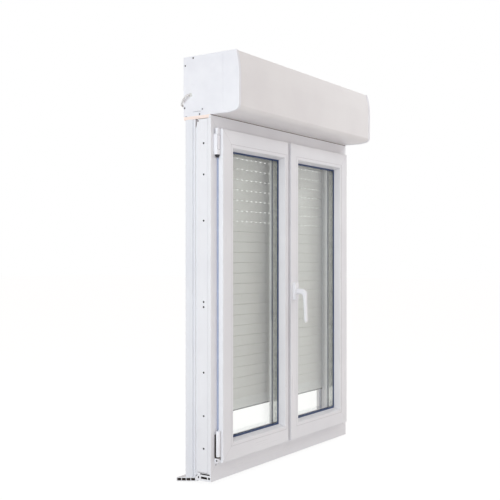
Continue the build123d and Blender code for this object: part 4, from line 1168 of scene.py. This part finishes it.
@dataclass
class WindowFrame(Assembly):
    """The outer frame with its seals, steels, guides, seating strip and sill."""

    across: tuple[str, ...] = ("frame_head", "frame_bottom_bar")
    upright: tuple[str, ...] = ("frame_left_jamb", "frame_right_jamb")
    half_width: float = 500.0
    trim_inset: float = 0.05
    trim_height: Span = (1277.02, 1285.4)
    trim_depth: Span = (0.25, 1.95)
    trim_return: Span = (0.25, 8.5)
    return_height: Span = (1277.1, 1285.4)
    trim_thickness: float = 0.6
    # A seal whose dark brown is painted shade in the joint under the box.
    joint_shade_depth: Span = (0.9, 1.95)
    joint_shade_height: Span = (1285.4, 1287.9)
    rib: Span = (14.4, 16.2)
    rib_height: Span = (27.5, 1276.5)
    rib_round: float = 0.25
    rib_inset: Span = (0.15, 1.5)
    foot_inset: Span = (1.2, 9.0)
    foot: tuple[Span, ...] = ((60.9, 33.0), (70.0, 33.0), (70.0, 15.4), (67.0, 15.0), (60.9, 21.5))
    foot_round: float = 0.5
    lip_out: Span = (463.28, 464.0)
    lip_depth: Span = (-6.6, -0.05)
    lip_height: Span = (177.5, 1146.0)
    tail: tuple[Point, ...] = (
        (-496.6, 69.0, 1248.0), (-496.8, 67.4, 1256.0), (-497.0, 65.6, 1266.0),
        (-497.8, 63.9, 1275.0), (-498.9, 62.2, 1275.4), (-499.2, 60.4, 1271.0),
        (-499.2, 58.2, 1267.2), (-499.2, 56.2, 1268.6), (-499.2, 54.4, 1271.2),
    )
    tail_half: Span = (0.95, 0.6)
    # The dark sleeve's section: painted shade inside each fixing hole.
    lining: tuple[Span, ...] = (
        (0.15, 3.5), (0.15, 2.8), (-2.6, 0.9), (-2.7, 2.95), (-0.1, 2.95), (-0.1, 3.5),
    )
    lining_inset: float = 1.55
    fixing_depth: float = 33.0
    fixing_holes: tuple[float, ...] = (113.0, 228.0, 381.0, 612.0, 630.0, 916.0, 1079.0, 1189.0)

    def build_head_trim(self) -> None:
        """Makes the strip that covers the foam in front, and above it a seal whose dark brown is painted
        shade in the joint under the box.
        """
        edge = self.half_width - self.trim_inset
        trim = Solid().block((-edge, edge), self.trim_depth, self.trim_height)
        trim.block((-self.half_width - self.trim_thickness, -self.half_width), self.trim_return,
                   self.return_height)
        seal = Solid().block((-edge, edge), self.joint_shade_depth, self.joint_shade_height)
        trim.piece("head_trim", self.finishes.profile[Run.WIDTH], "window_frame", "white_pvc")
        seal.piece("box_joint_shade_seal", self.finishes.brown_rubber, "window_frame", "seal_rubber")

    def build_side_ribs(self) -> None:
        """Makes the narrow rib behind each jamb's front lip, which leaves a groove between them."""
        solid = Solid()
        outer, inner = (self.half_width - inset for inset in self.rib_inset)
        for side in Side:
            solid.block(side.span(outer, inner), self.rib, self.rib_height)
        solid.soften(self.rib_round, 1)
        solid.piece("jamb_ribs", self.finishes.profile[Run.HEIGHT], "window_frame", "white_pvc")

    def build_guide_feet(self) -> None:
        """Makes the feet that close the corner between the sill, the frame and each guide."""
        solid = Solid()
        outer, inner = (self.half_width - inset for inset in self.foot_inset)
        for side in Side:
            solid.bar(self.foot, side.span(outer, inner))
        solid.soften(self.foot_round, 1).piece("guide_feet", self.finishes.guide, "window_frame", "white_pvc")

    def build_seal_tail(self) -> None:
        """Makes the loose end of the guide's seal, bent over in the left groove."""
        rows = []
        half_wide, half_thick = self.tail_half
        for point, before, after in neighbours(self.tail):
            along = (at(*after) - at(*before)).normalized()
            across = along.cross(ACROSS).normalized() * half_wide * MM
            out = ACROSS * half_thick * MM
            middle = at(*point)
            rows.append([middle - across - out, middle + across - out, middle + across + out,
                         middle - across + out])
        Solid().loft(rows).piece("guide_seal_end", self.finishes.brown_rubber, "window_frame", "seal_rubber")

    def build_seal_lips(self) -> None:
        """Makes the seal's lips that show between the frame's face and each leaf's hinge side."""
        solid = Solid()
        for side in Side:
            solid.block(side.span(*self.lip_out), self.lip_depth, self.lip_height)
        solid.piece("frame_seal_lips", self.finishes.seal, "window_frame", "seal_rubber")

    def build_hole_shade(self) -> None:
        """Makes dark sleeves in the drilled fixing holes, which stay open: painted shade inside the holes."""
        solid = Solid()
        for side in Side:
            for z in self.fixing_holes:
                middle = at(side.value * (self.half_width - self.lining_inset), self.fixing_depth, z)
                solid.loft([circle(middle + ACROSS * side.value * along * MM, BACK, UP, radius, 24)
                            for along, radius in self.lining], hollow=True)
        solid.piece("fixing_hole_shade", self.finishes.hollow, "window_frame", "seal_rubber")

    def build(self) -> None:
        """Makes the frame's own pieces."""
        self.build_head_trim()
        self.build_side_ribs()
        self.build_guide_feet()
        self.build_seal_tail()
        self.build_seal_lips()
        self.build_hole_shade()

    def dress(self) -> None:
        """Gives the frame's CAD nodes their finishes."""
        wear(self.across, self.finishes.profile[Run.WIDTH])
        wear(self.upright, self.finishes.profile[Run.HEIGHT])
        wear(("left_guide_rail", "right_guide_rail"), self.finishes.guide)
        wear(("sill",), self.finishes.sill)
        wear(("seating_strip",), self.finishes.foam)
        wear(("frame_seal", "guide_glide_strips"), self.finishes.seal)
        wear(("frame_reinforcements",), self.finishes.steel)
        log.info("frame is dressed")


@dataclass
class ShutterBox(Assembly):
    """The box on top with its panels, caps, screws and drive."""

    panels: tuple[str, ...] = ("box_front_panel", "box_top_panel", "box_rear_panel", "box_hatch")
    caps: tuple[str, ...] = ("left_end_cap", "right_end_cap")
    half_width: float = 500.0
    screw_recess: float = 2.5
    screw_spots: tuple[Span, ...] = (
        (79.0, 1494.5), (115.0, 1471.0), (117.5, 1320.0), (50.5, 1293.0),
    )
    plug_spot: Span = (79.0, 1399.0)
    plug_inset: float = 1.45
    plug: tuple[Span, ...] = ((0.0, 3.35), (0.9, 3.3), (1.3, 2.9), (1.35, 2.0))
    screw: Screw = Screw(3.3, 1.1, 12.0)
    latch_out: Span = (-500.35, -499.4)
    latch: tuple[tuple[Span, Span], ...] = (
        ((45.0, 80.0), (1302.5, 1303.6)), ((34.8, 39.6), (1307.6, 1312.4)),
        ((106.5, 113.5), (1289.0, 1290.6)),
    )
    lip_start: Point = (-501.3, 91.0, 1364.0)
    lip: tuple[Span, ...] = ((-1.0, 5.6), (0.9, 5.4), (2.6, 4.6), (3.4, 3.9), (3.6, 3.4))
    nib: Box = ((-499.6, -488.4), (-70.0, -64.5), (1286.4, 1288.6))
    nib_round: float = 0.6
    mould_line: Box = ((-500.04, -500.0), (-52.6, -51.9), (1300.0, 1490.0))

    def build_latch(self) -> None:
        """Makes the hatch's catch in the left cap: a slot, its clip and the rear nib."""
        solid = Solid()
        for depth, height in self.latch:
            solid.block(self.latch_out, depth, height)
        solid.piece("hatch_catch", self.finishes.grey_plastic, "window_frame", "box_pvc")

    def build_screws(self) -> None:
        """Makes the screws that hold the end caps, with cross recesses."""
        solid, plugs = Solid(), Solid()
        for side in Side:
            for depth, z in self.screw_spots:
                seat = at(side.value * (self.half_width - self.screw_recess), depth, z)
                self.screw.add(solid, seat, ACROSS * side.value)
            depth, z = self.plug_spot
            seat = at(side.value * (self.half_width - self.plug_inset), depth, z)
            plugs.turned(seat, ACROSS * side.value, self.plug, 24)
        plugs.piece("cap_plugs", self.finishes.cap, "window_frame", "box_pvc")
        solid.piece("cap_screws", self.finishes.screw, "window_frame", "screw_steel", ["end_cap_screws"])

    def build_grommet_lip(self) -> None:
        """Makes the soft lip that grips the cable where it leaves the cap."""
        solid = Solid().turned(at(*self.lip_start), -ACROSS, self.lip, 28)
        solid.piece("cable_lip", self.finishes.strap, "window_frame", "strap_plastic")

    def build(self) -> None:
        """Makes the box's own pieces."""
        self.build_screws()
        self.build_latch()
        self.build_grommet_lip()
        nib = Solid().block(*self.nib).soften(self.nib_round)
        nib.piece("hatch_nib", self.finishes.cap, "window_frame", "box_pvc")
        line = Solid().block(*self.mould_line)
        line.piece("cap_mould_line", self.finishes.mould_line, "window_frame", "box_pvc")

    def dress(self) -> None:
        """Gives the box's CAD nodes their finishes."""
        wear(self.panels, self.finishes.box)
        wear(self.caps, self.finishes.cap)
        wear(("guide_funnels", "cable_grommet", "idler_plug", "drive_adaptors"), self.finishes.strap)
        wear(("end_cap_screws",), self.finishes.screw)
        wear(("motor_bracket", "bearing_bracket", "axle_tube"), self.finishes.steel)
        wear(("motor",), self.finishes.motor)
        log.info("box is dressed")


@dataclass
class Curtain(Assembly):
    """The shutter's curtain: slats that hang on each other, with light slots in their necks."""

    count: int = 31
    pitch: float = 40.0
    low: float = 247.0
    half_length: float = 470.0
    centre: float = 92.0
    thickness: float = 9.0
    bulge: float = 0.8
    shoulder: float = 2.0
    edge_step: float = 0.9
    face_steps: int = 8
    joint_drop: float = 0.15
    open_from: float = 880.0
    neck_open: float = 4.0
    neck_closed: float = 1.9
    neck_half: float = 1.0
    hook_half: float = 2.0
    slot_pitch: float = 32.0
    slot_length: float = 13.0
    slot_margin: float = 22.0
    neck_overlap: float = 0.6
    skirt: Span = (0.3, 1.1)
    skirt_overlap: float = 0.4
    hook: Point = (-1.0, 3.9, 5.5)
    strap_places: tuple[float, ...] = (-320.0, 0.0, 320.0)
    strap_width: float = 30.0
    strap_thickness: float = 0.8
    strap_step: float = 4.0
    strap_bend: Span = (42.0, 80.0)
    strap_height: float = 1429.0
    strap_line: tuple[Span, ...] = (
        (-5.0, 1426.4), (16.0, 1426.4), (67.0, 1440.0), (80.0, 1491.5), (94.0, 1491.5),
    )

    def gap_above(self, low: float) -> float:
        """Gives the open height between a slat and the one above it, which is more near the axle."""
        return self.neck_open if low > self.open_from else self.neck_closed

    def slat_section(self, low: float, high: float) -> list[Span]:
        """Draws one slat: bulged faces with a drawn line, and rounded shoulders.

        Args:
            low: Height of its lower edge.
            high: Height of its upper edge.

        Returns:
            The outline in depth and height.
        """
        half = self.thickness / 2
        height = high - low
        side = [(half - self.shoulder, low), (half - self.bulge, low + self.edge_step)]
        for step in range(1, self.face_steps):
            share = step / self.face_steps
            side.append((half - self.bulge * (2 * share - 1) ** 2, low + height * share))
        side += [(half - self.bulge, high - self.edge_step), (half - self.shoulder, high)]
        front = [(self.centre - out, z) for out, z in side]
        back = [(self.centre + out, z) for out, z in reversed(side)]
        return front + back

    def add_neck(self, solid: Solid, low: float, high: float, closed: bool) -> None:
        """Adds the neck between two slats, with its row of light slots.

        Args:
            solid: The mesh to add it to.
            low: Height of the lower slat's upper edge.
            high: Height of the upper slat's lower edge.
            closed: Whether the upper slat's skirt covers the slots from behind.
        """
        depth = (self.centre - self.neck_half, self.centre + self.neck_half)
        slots = int((2 * self.half_length - 2 * self.slot_margin) / self.slot_pitch)
        first = -(slots - 1) / 2 * self.slot_pitch
        edge = -self.half_length
        for index in range(slots + 1):
            slot = first + index * self.slot_pitch
            stop = slot - self.slot_length / 2 if index < slots else self.half_length
            solid.block((edge, stop), depth, (low - self.neck_overlap, high + self.neck_overlap))
            edge = slot + self.slot_length / 2
        if closed:
            near, far = self.skirt
            solid.block((-self.half_length, self.half_length), (depth[1] + near, depth[1] + far),
                        (low - self.skirt_overlap, high + self.skirt_overlap))

    def build_slats(self) -> None:
        """Makes all the slats with their necks."""
        solid = Solid()
        length = (-self.half_length, self.half_length)
        for index in range(self.count):
            base = self.low + index * self.pitch
            gap = self.gap_above(base)
            under = self.gap_above(base - self.pitch)
            low = base + under / 2 - self.joint_drop if index else base
            high = base + self.pitch - gap / 2 - self.joint_drop
            solid.bar(self.slat_section(low, high), length)
            if index < self.count - 1:
                self.add_neck(solid, high, high + gap, base <= self.open_from)
        top = self.low + self.count * self.pitch - self.neck_open / 2
        start, bend, end = (top + step for step in self.hook)
        for half, low, high in ((self.neck_half, start, bend), (self.hook_half, bend, end)):
            solid.block(length, (self.centre - half, self.centre + half), (low, high))
        solid.piece("slat_curtain", self.finishes.slat, "curtain", "slat_pvc", ["curtain_slats"])

    def build_straps(self) -> None:
        """Makes the straps, from the axle at one end to the top slat at the other."""
        line = []
        for (depth, z), (next_depth, next_z) in zip(self.strap_line, self.strap_line[1:]):
            steps = max(2, int(math.dist((depth, z), (next_depth, next_z)) / self.strap_step))
            line += [(depth + (next_depth - depth) * step / steps, z + (next_z - z) * step / steps)
                     for step in range(steps)]
        line.append(self.strap_line[-1])
        solid = Solid()
        for x in self.strap_places:
            rows = []
            for (depth, z), before, after in neighbours(line):
                along = Vector((after[0] - before[0], after[1] - before[1])).normalized()
                off = along.orthogonal() * self.strap_thickness / 2
                low, high = x - self.strap_width / 2, x + self.strap_width / 2
                rows.append([at(low, depth - off.x, z - off.y), at(high, depth - off.x, z - off.y),
                             at(high, depth + off.x, z + off.y), at(low, depth + off.x, z + off.y)])
            solid.loft(rows)
        straps = solid.piece("axle_straps", self.finishes.strap, "", "strap_plastic", ["curtain_straps"])
        tuple(at(0, self.strap_bend[0], self.strap_height))
        tuple(at(0, self.strap_bend[1], self.strap_height))
        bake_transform(straps)

    def dress(self) -> None:
        """Gives the curtain's CAD nodes their finishes and makes the slats."""
        self.build_slats()
        wear(("end_slat",), self.finishes.end_slat)
        wear(("end_slat_seal",), self.finishes.dark_rubber)
        self.build_straps()
        log.info("curtain is dressed")


@dataclass
class Sash(Assembly):
    """One leaf: rails, stiles, beads, gaskets, double glazing and its hinge halves."""

    side: Side
    line_depth: Span = (-25.67, -25.3)
    bead_low: float = 113.6
    bead_high: float = 1190.4
    line: float = 0.9
    glass_low: float = 134.05
    glass_high: float = 1169.95
    gasket_proud: float = 6.4
    gasket_depth: Span = (0.3, 2.95)
    bead_edges: tuple[Span, Span] = ((-413.4, -37.0), (36.5, 413.4))
    glass_edges: tuple[Span, Span] = ((-392.95, -57.45), (56.95, 392.95))

    def body(self) -> str:
        """Names the body that this leaf is."""
        return f"{self.side.word}_sash"

    def own(self, edges: tuple[Span, Span]) -> Span:
        """Gives this side's edges along the width, of a pair for left and right."""
        return edges[0] if self.side is Side.LEFT else edges[1]

    def build_bead_gap_shade(self) -> None:
        """Makes a thin grey strip over the joint round the glazing beads, painted shade of the gap."""
        left, right = self.own(self.bead_edges)
        half = self.line / 2
        depth = self.line_depth
        solid = Solid()
        for edge in (left, right):
            solid.block((edge - half, edge + half), depth, (self.bead_low - half, self.bead_high + half))
        for edge in (self.bead_low, self.bead_high):
            solid.block((left + half, right - half), depth, (edge - half, edge + half))
        solid.piece(f"{self.side.word}_bead_joint", self.finishes.joint, self.body(), "white_pvc")

    def build_glass_gasket(self) -> None:
        """Makes the gasket's lip that stands out of the bead along the pane, all round."""
        left, right = self.own(self.glass_edges)
        low, high = self.glass_low, self.glass_high
        proud, depth = self.gasket_proud, self.gasket_depth
        solid = Solid()
        for x in ((left, left + proud), (right - proud, right)):
            solid.block(x, depth, (low, high))
        for z in ((low, low + proud), (high - proud, high)):
            solid.block((left + proud, right - proud), depth, z)
        solid.piece(f"{self.side.word}_gasket_lip", self.finishes.gasket, self.body(), "gasket_rubber")

    def build(self) -> None:
        """Makes the leaf's own pieces."""
        self.build_bead_gap_shade()
        self.build_glass_gasket()

    def dress(self) -> None:
        """Gives the leaf's CAD nodes their finishes."""
        finishes = self.finishes
        for material, names in (
            (finishes.sash[Run.WIDTH], ("top_rail", "bottom_rail")),
            (finishes.sash[Run.HEIGHT], ("hinge_stile", "meeting_stile")),
            (finishes.sash[Run.NONE], ("glazing_beads",)),
            (finishes.glass, ("glass_panes",)),
            (finishes.spacer, ("glass_spacer",)),
            (finishes.gasket, ("glazing_gaskets",)),
            (finishes.steel, ("sash_reinforcements",)),
            (finishes.hardware, ("sash_hinges",)),
        ):
            wear([f"{self.side.word}_{name}" for name in names], material)
        log.info("%s sash is dressed", self.side.word)


@dataclass
class HingeCovers(Assembly):
    """The plastic covers of one side's hinges, with the rest that the leaf stands on."""

    side: Side
    pin_out: float = 471.5
    pin_depth: float = -10.5
    cover: Box = ((464.75, 483.6), (-14.9, -0.05), (1148.6, 1222.0))
    cover_round: float = 1.4
    clip_joint: Box = ((466.6, 482.4), (-15.0, -14.7), (1166.2, 1217.2))
    clip: Box = ((467.4, 481.6), (-15.5, -14.8), (1167.2, 1216.2))
    clip_round: float = 0.3
    # A dark wedge under the cover: painted shade where the cover meets the frame and the leaf.
    shade_wedge_out: Span = (465.2, 476.5)
    stop: tuple[Span, ...] = (
        (-13.5, 1148.8), (-0.05, 1148.8), (-0.05, 1146.0), (-4.5, 1138.5), (-7.0, 1138.5),
    )
    cap: Box = ((465.0, 480.8), (-15.4, -4.6), (1222.5, 1242.3))
    cap_arm: Box = ((463.25, 466.5), (-12.5, -8.5), (1222.7, 1240.5))
    sleeve_radius: float = 7.7
    sleeve_height: Span = (84.7, 175.6)
    sleeve_arm: Box = ((463.25, 468.0), (-13.5, -8.5), (85.1, 174.2))
    soft: float = 1.6
    # A dark strip in the gap between the sleeve and the frame's face: painted shade.
    backing: Box = ((470.0, 479.2), (-2.9, -0.05), (84.8, 162.5))
    # A dark block with a lug under the sleeve: painted shade under it.
    hook: Box = ((464.7, 478.7), (-14.65, -0.05), (80.3, 84.15))
    under_sleeve_lug: Box = ((465.2, 468.4), (-15.4, -14.5), (74.5, 82.0))
    side_place: Point = (478.45, -9.4, 72.4)
    side_screw: Screw = Screw(3.6, 0.9)
    front_place: Point = (471.0, -0.02, 55.5)
    front_screw: Screw = Screw(2.2, 0.6)

    def block(self, solid: Solid, out: Span, depth: Span, z: Span) -> Solid:
        """Adds a block whose width is given as distances outward from the middle of the unit."""
        return solid.block(self.side.span(*out), depth, z)

    def barrel(self, solid: Solid, radius: float, z: Span) -> Solid:
        """Adds an upright round part on the hinge's axis, with rounded ends.

        Args:
            solid: The mesh to add it to.
            radius: Its radius.
            z: Lowest and highest height.

        Returns:
            The mesh.
        """
        high, soft = z[1] - z[0], self.soft
        rings = [(0, radius - soft), (soft * 0.3, radius - soft * 0.3), (soft, radius), (high - soft, radius),
                 (high - soft * 0.3, radius - soft * 0.3), (high, radius - soft)]
        return solid.turned(at(self.side.value * self.pin_out, self.pin_depth, z[0]), UP, rings, 28)

    def build_top(self) -> None:
        """Makes the upper hinge's cover, with the clip on its front and a dark wedge under it that is painted
        shade under the cover.
        """
        cover = self.block(Solid(), *self.cover).soften(self.cover_round, 3)
        cover.piece(f"{self.side.word}_top_hinge_cover", self.finishes.hardware, "window_frame",
                    "hardware_white")
        joint = self.block(Solid(), *self.clip_joint)
        joint.piece(f"{self.side.word}_top_clip_joint", self.finishes.grey_plastic, "window_frame",
                    "hardware_white")
        clip = self.block(Solid(), *self.clip).soften(self.clip_round, 1)
        clip.piece(f"{self.side.word}_top_clip", self.finishes.hardware, "window_frame", "hardware_white")
        stop = Solid().bar(self.stop, self.side.span(*self.shade_wedge_out))
        stop.piece(f"{self.side.word}_top_hinge_stop", self.finishes.dark_rubber, "window_frame",
                   "seal_rubber")

    def build_turning(self) -> None:
        """Makes the halves that turn with the leaf: a cap above and a sleeve below."""
        solid = self.block(Solid(), *self.cap).soften(self.soft, 3)
        self.block(solid, *self.cap_arm)
        self.barrel(solid, self.sleeve_radius, self.sleeve_height)
        self.block(solid, *self.sleeve_arm)
        solid.piece(f"{self.side.word}_hinge_sleeves", self.finishes.hardware, f"{self.side.word}_sash",
                    "hardware_white", [f"{self.side.word}_sash_hinges"])

    def build_bottom(self) -> None:
        """Makes the lower hinge's dark strip beside the sleeve and dark block under it, painted shade in the
        gap and under the sleeve, and the screws of its rest.
        """
        backing = self.block(Solid(), *self.backing)
        backing.piece(f"{self.side.word}_hinge_backing", self.finishes.hinge_shade_dark, "window_frame",
                      "seal_rubber")
        hook = self.block(Solid(), *self.hook)
        self.block(hook, *self.under_sleeve_lug)
        hook.piece(f"{self.side.word}_hinge_hook", self.finishes.hinge_shade_dark, "window_frame", "seal_rubber")
        screws = Solid()
        for screw, (out, depth, z), outward in (
            (self.side_screw, self.side_place, ACROSS * self.side.value),
            (self.front_screw, self.front_place, -BACK),
        ):
            screw.add(screws, at(self.side.value * out, depth, z), outward)
        screws.piece(f"{self.side.word}_hinge_screws", self.finishes.screw, "window_frame", "screw_steel")

    def build(self) -> None:
        """Makes both hinges' covers."""
        self.build_top()
        self.build_turning()
        self.build_bottom()


@dataclass
class Handle(Assembly):
    """The turning handle: a domed plate on the leaf, and a lever with a round neck."""

    pivot_x: float = 21.0
    pivot_z: float = 653.0
    face: float = -25.6
    plate_half: Span = (13.9, 34.9)
    plate_round: float = 9.0
    plate_points: int = 40
    lever_points: int = 36
    squareness: float = 0.42
    square_from: int = 2
    square_rows: int = 5
    plate_rows: tuple[Span, ...] = (
        (0.02, 0.0), (8.4, 0.1), (10.2, 0.4), (11.2, 1.1), (11.8, 2.2), (12.0, 3.6),
    )
    path: tuple[tuple[float, float, float, float, float], ...] = (
        (12.2, 0.0, 0.0, 11.6, 11.6), (13.4, 0.0, 0.0, 11.4, 11.4), (14.8, 0.0, 0.0, 10.6, 10.8),
        (20.0, 0.0, 0.0, 10.2, 10.8), (32.0, 0.0, 4.0, 10.0, 11.0), (38.5, -1.0, 20.0, 9.8, 11.2),
        (43.2, -4.2, 46.0, 9.6, 11.0), (46.6, -10.0, 68.0, 9.2, 9.4), (48.0, -18.0, 80.0, 8.8, 7.6),
        (48.8, -30.0, 87.0, 8.4, 6.6), (50.2, -60.0, 87.5, 7.9, 5.9), (51.6, -92.0, 87.5, 7.5, 5.5),
        (52.6, -114.0, 88.0, 7.2, 5.2), (52.8, -119.0, 88.0, 6.4, 4.5), (52.9, -121.4, 88.0, 4.8, 3.2),
        (52.9, -122.0, 88.0, 2.8, 1.7),
    )

    def spot(self, across: float, out: float, up: float) -> Vector:
        """Gives a point by its distances from the pivot: across, out of the leaf and up."""
        return at(self.pivot_x + across, self.face - out, self.pivot_z + up)

    def build_plate(self) -> None:
        """Makes the plate with its rounded edge."""
        half_x, half_z = self.plate_half
        rows = []
        for out, inset in self.plate_rows:
            radius = self.plate_round - inset
            row = []
            for step in range(self.plate_points):
                turn = 2 * math.pi * (step + 0.5) / self.plate_points
                across = math.copysign(half_x - self.plate_round, math.cos(turn)) + radius * math.cos(turn)
                up = math.copysign(half_z - self.plate_round, math.sin(turn)) + radius * math.sin(turn)
                row.append(self.spot(across, out, up))
            rows.append(row)
        plate = Solid().loft(rows)
        plate.piece("handle_plate", self.finishes.hardware, "right_sash", "hardware_white",
                    ["handle_rosette"])

    def build_lever(self) -> None:
        """Makes the lever: neck, web and grip."""
        rows = []
        for index, (out, up, tilt, half_x, half_thick) in enumerate(self.path):
            squared = min(1.0, max(0.0, (index - self.square_from) / self.square_rows))
            power = 1.0 - self.squareness * squared
            lift, reach = math.cos(math.radians(tilt)), math.sin(math.radians(tilt))
            row = []
            for step in range(self.lever_points):
                turn = 2 * math.pi * step / self.lever_points
                across = math.copysign(abs(math.cos(turn)) ** power, math.cos(turn)) * half_x
                thick = math.copysign(abs(math.sin(turn)) ** power, math.sin(turn)) * half_thick
                row.append(self.spot(across, out + thick * reach, up + thick * lift))
            rows.append(row)
        solid = Solid().loft(rows)
        solid.piece("lever", self.finishes.hardware, "handle", "hardware_white", ["handle_lever"])

    def build(self) -> None:
        """Makes the plate and the lever."""
        self.build_plate()
        self.build_lever()


@dataclass
class Hardware(Assembly):
    """Hinge brackets and pins, handle and lock."""

    def dress(self) -> None:
        """Gives the hardware's CAD nodes their finishes."""
        wear(("hinge_brackets", "handle_rosette", "handle_lever"), self.finishes.hardware)
        wear(("hinge_pins", "handle_spindle", "lock_gearbox", "lock_rod", "lock_keeps"), self.finishes.steel)
        log.info("hardware is dressed")


@dataclass(frozen=True)
class Lamp:
    """One soft lamp, with its power in watts and its side in metres."""

    name: str
    place: Point
    target: Point
    power: float
    size: float
    colour: Point

    def build(self) -> None:
        """Makes the lamp."""
        data = bpy.data.lights.new(self.name, "AREA")
        data.energy = self.power
        data.size = self.size
        data.color = self.colour
        lamp = bpy.data.objects.new(self.name, data)
        lamp.location = self.place
        lamp.visible_glossy = False
        aim = Vector(self.target) - Vector(self.place)
        lamp.rotation_euler = aim.to_track_quat("-Z", "Y").to_euler()
        bpy.context.scene.collection.objects.link(lamp)


@dataclass
class Studio:
    """Floor, world and soft lamps."""

    floor_z: float = -0.0182
    floor_size: float = 60.0
    ambient: float = 0.47
    ambient_tint: Colour = (1.0, 0.87, 0.81, 1.0)
    lamps: tuple[Lamp, ...] = (
        Lamp("side_soft", (-4.6, 0.3, 0.9), (0.0, 0.0, 0.75), 36.0, 2.8, (0.8, 0.93, 1.0)),
        Lamp("side_front", (-4.4, -0.9, 1.0), (0.0, 0.0, 0.75), 36.0, 2.4, (0.84, 0.94, 1.0)),
        Lamp("side_high", (-4.3, -1.0, 2.9), (0.0, 0.0, 0.75), 42.0, 2.0, (0.855, 0.947, 1.0)),
        Lamp("key", (1.6, -1.8, 2.6), (0.1, 0.0, 1.1), 20.0, 0.8, (0.88, 0.96, 1.0)),
        Lamp("low_front", (0.9, -3.2, 0.3), (0.5, 0.0, 0.3), 13.0, 1.2, (0.98, 0.99, 1.0)),
        Lamp("low_left", (-0.8, -3.4, 0.15), (0.0, 0.0, 0.1), 7.0, 1.2, (0.96, 0.98, 1.0)),
    )

    def build_floor(self) -> None:
        """Makes the floor under the sill's nose."""
        mesh = bpy.data.meshes.new("floor")
        half = self.floor_size / 2
        mesh.from_pydata([(-half, -half, self.floor_z), (half, -half, self.floor_z),
                          (half, half, self.floor_z), (-half, half, self.floor_z)], [], [(0, 1, 2, 3)])
        mesh.materials.append(StudioFloor("pale_floor").material())
        floor = bpy.data.objects.new("floor", mesh)
        bpy.context.scene.collection.objects.link(floor)

    def build_world(self) -> None:
        """Makes a plain world that lights softly and looks white."""
        world = bpy.data.worlds.new("studio")
        bpy.context.scene.world = world
        world.use_nodes = True
        graph = Graph(world.node_tree)
        ambient = {"Color": self.ambient_tint, "Strength": self.ambient}
        light = graph.node("ShaderNodeBackground", None, ambient)
        white = graph.node("ShaderNodeBackground", None, {"Color": WHITE, "Strength": 1.0})
        graph.show(graph.blend(graph.seen(), light, white), "ShaderNodeOutputWorld")

    def build(self) -> None:
        """Makes the floor, the world and the lamps."""
        self.build_floor()
        self.build_world()
        for lamp in self.lamps:
            lamp.build()
        bpy.context.scene.view_settings.view_transform = "Standard"
        log.info("studio is lit")


def main() -> None:
    """Builds the camera, the cord and every sub-assembly in order."""
    logging.basicConfig(level=logging.INFO, format="%(name)s: %(message)s")
    PhotoCamera().build()
    finishes = Finishes()
    MotorCable(finishes).build()
    window = WindowFrame(finishes)
    window.build()
    window.dress()
    box = ShutterBox(finishes)
    box.build()
    box.dress()
    Curtain(finishes).dress()
    for side in Side:
        sash = Sash(finishes, side)
        sash.build()
        sash.dress()
        HingeCovers(finishes, side).build()
    Handle(finishes).build()
    Hardware(finishes).dress()
    Studio().build()


if __name__ == "__main__":
    main()
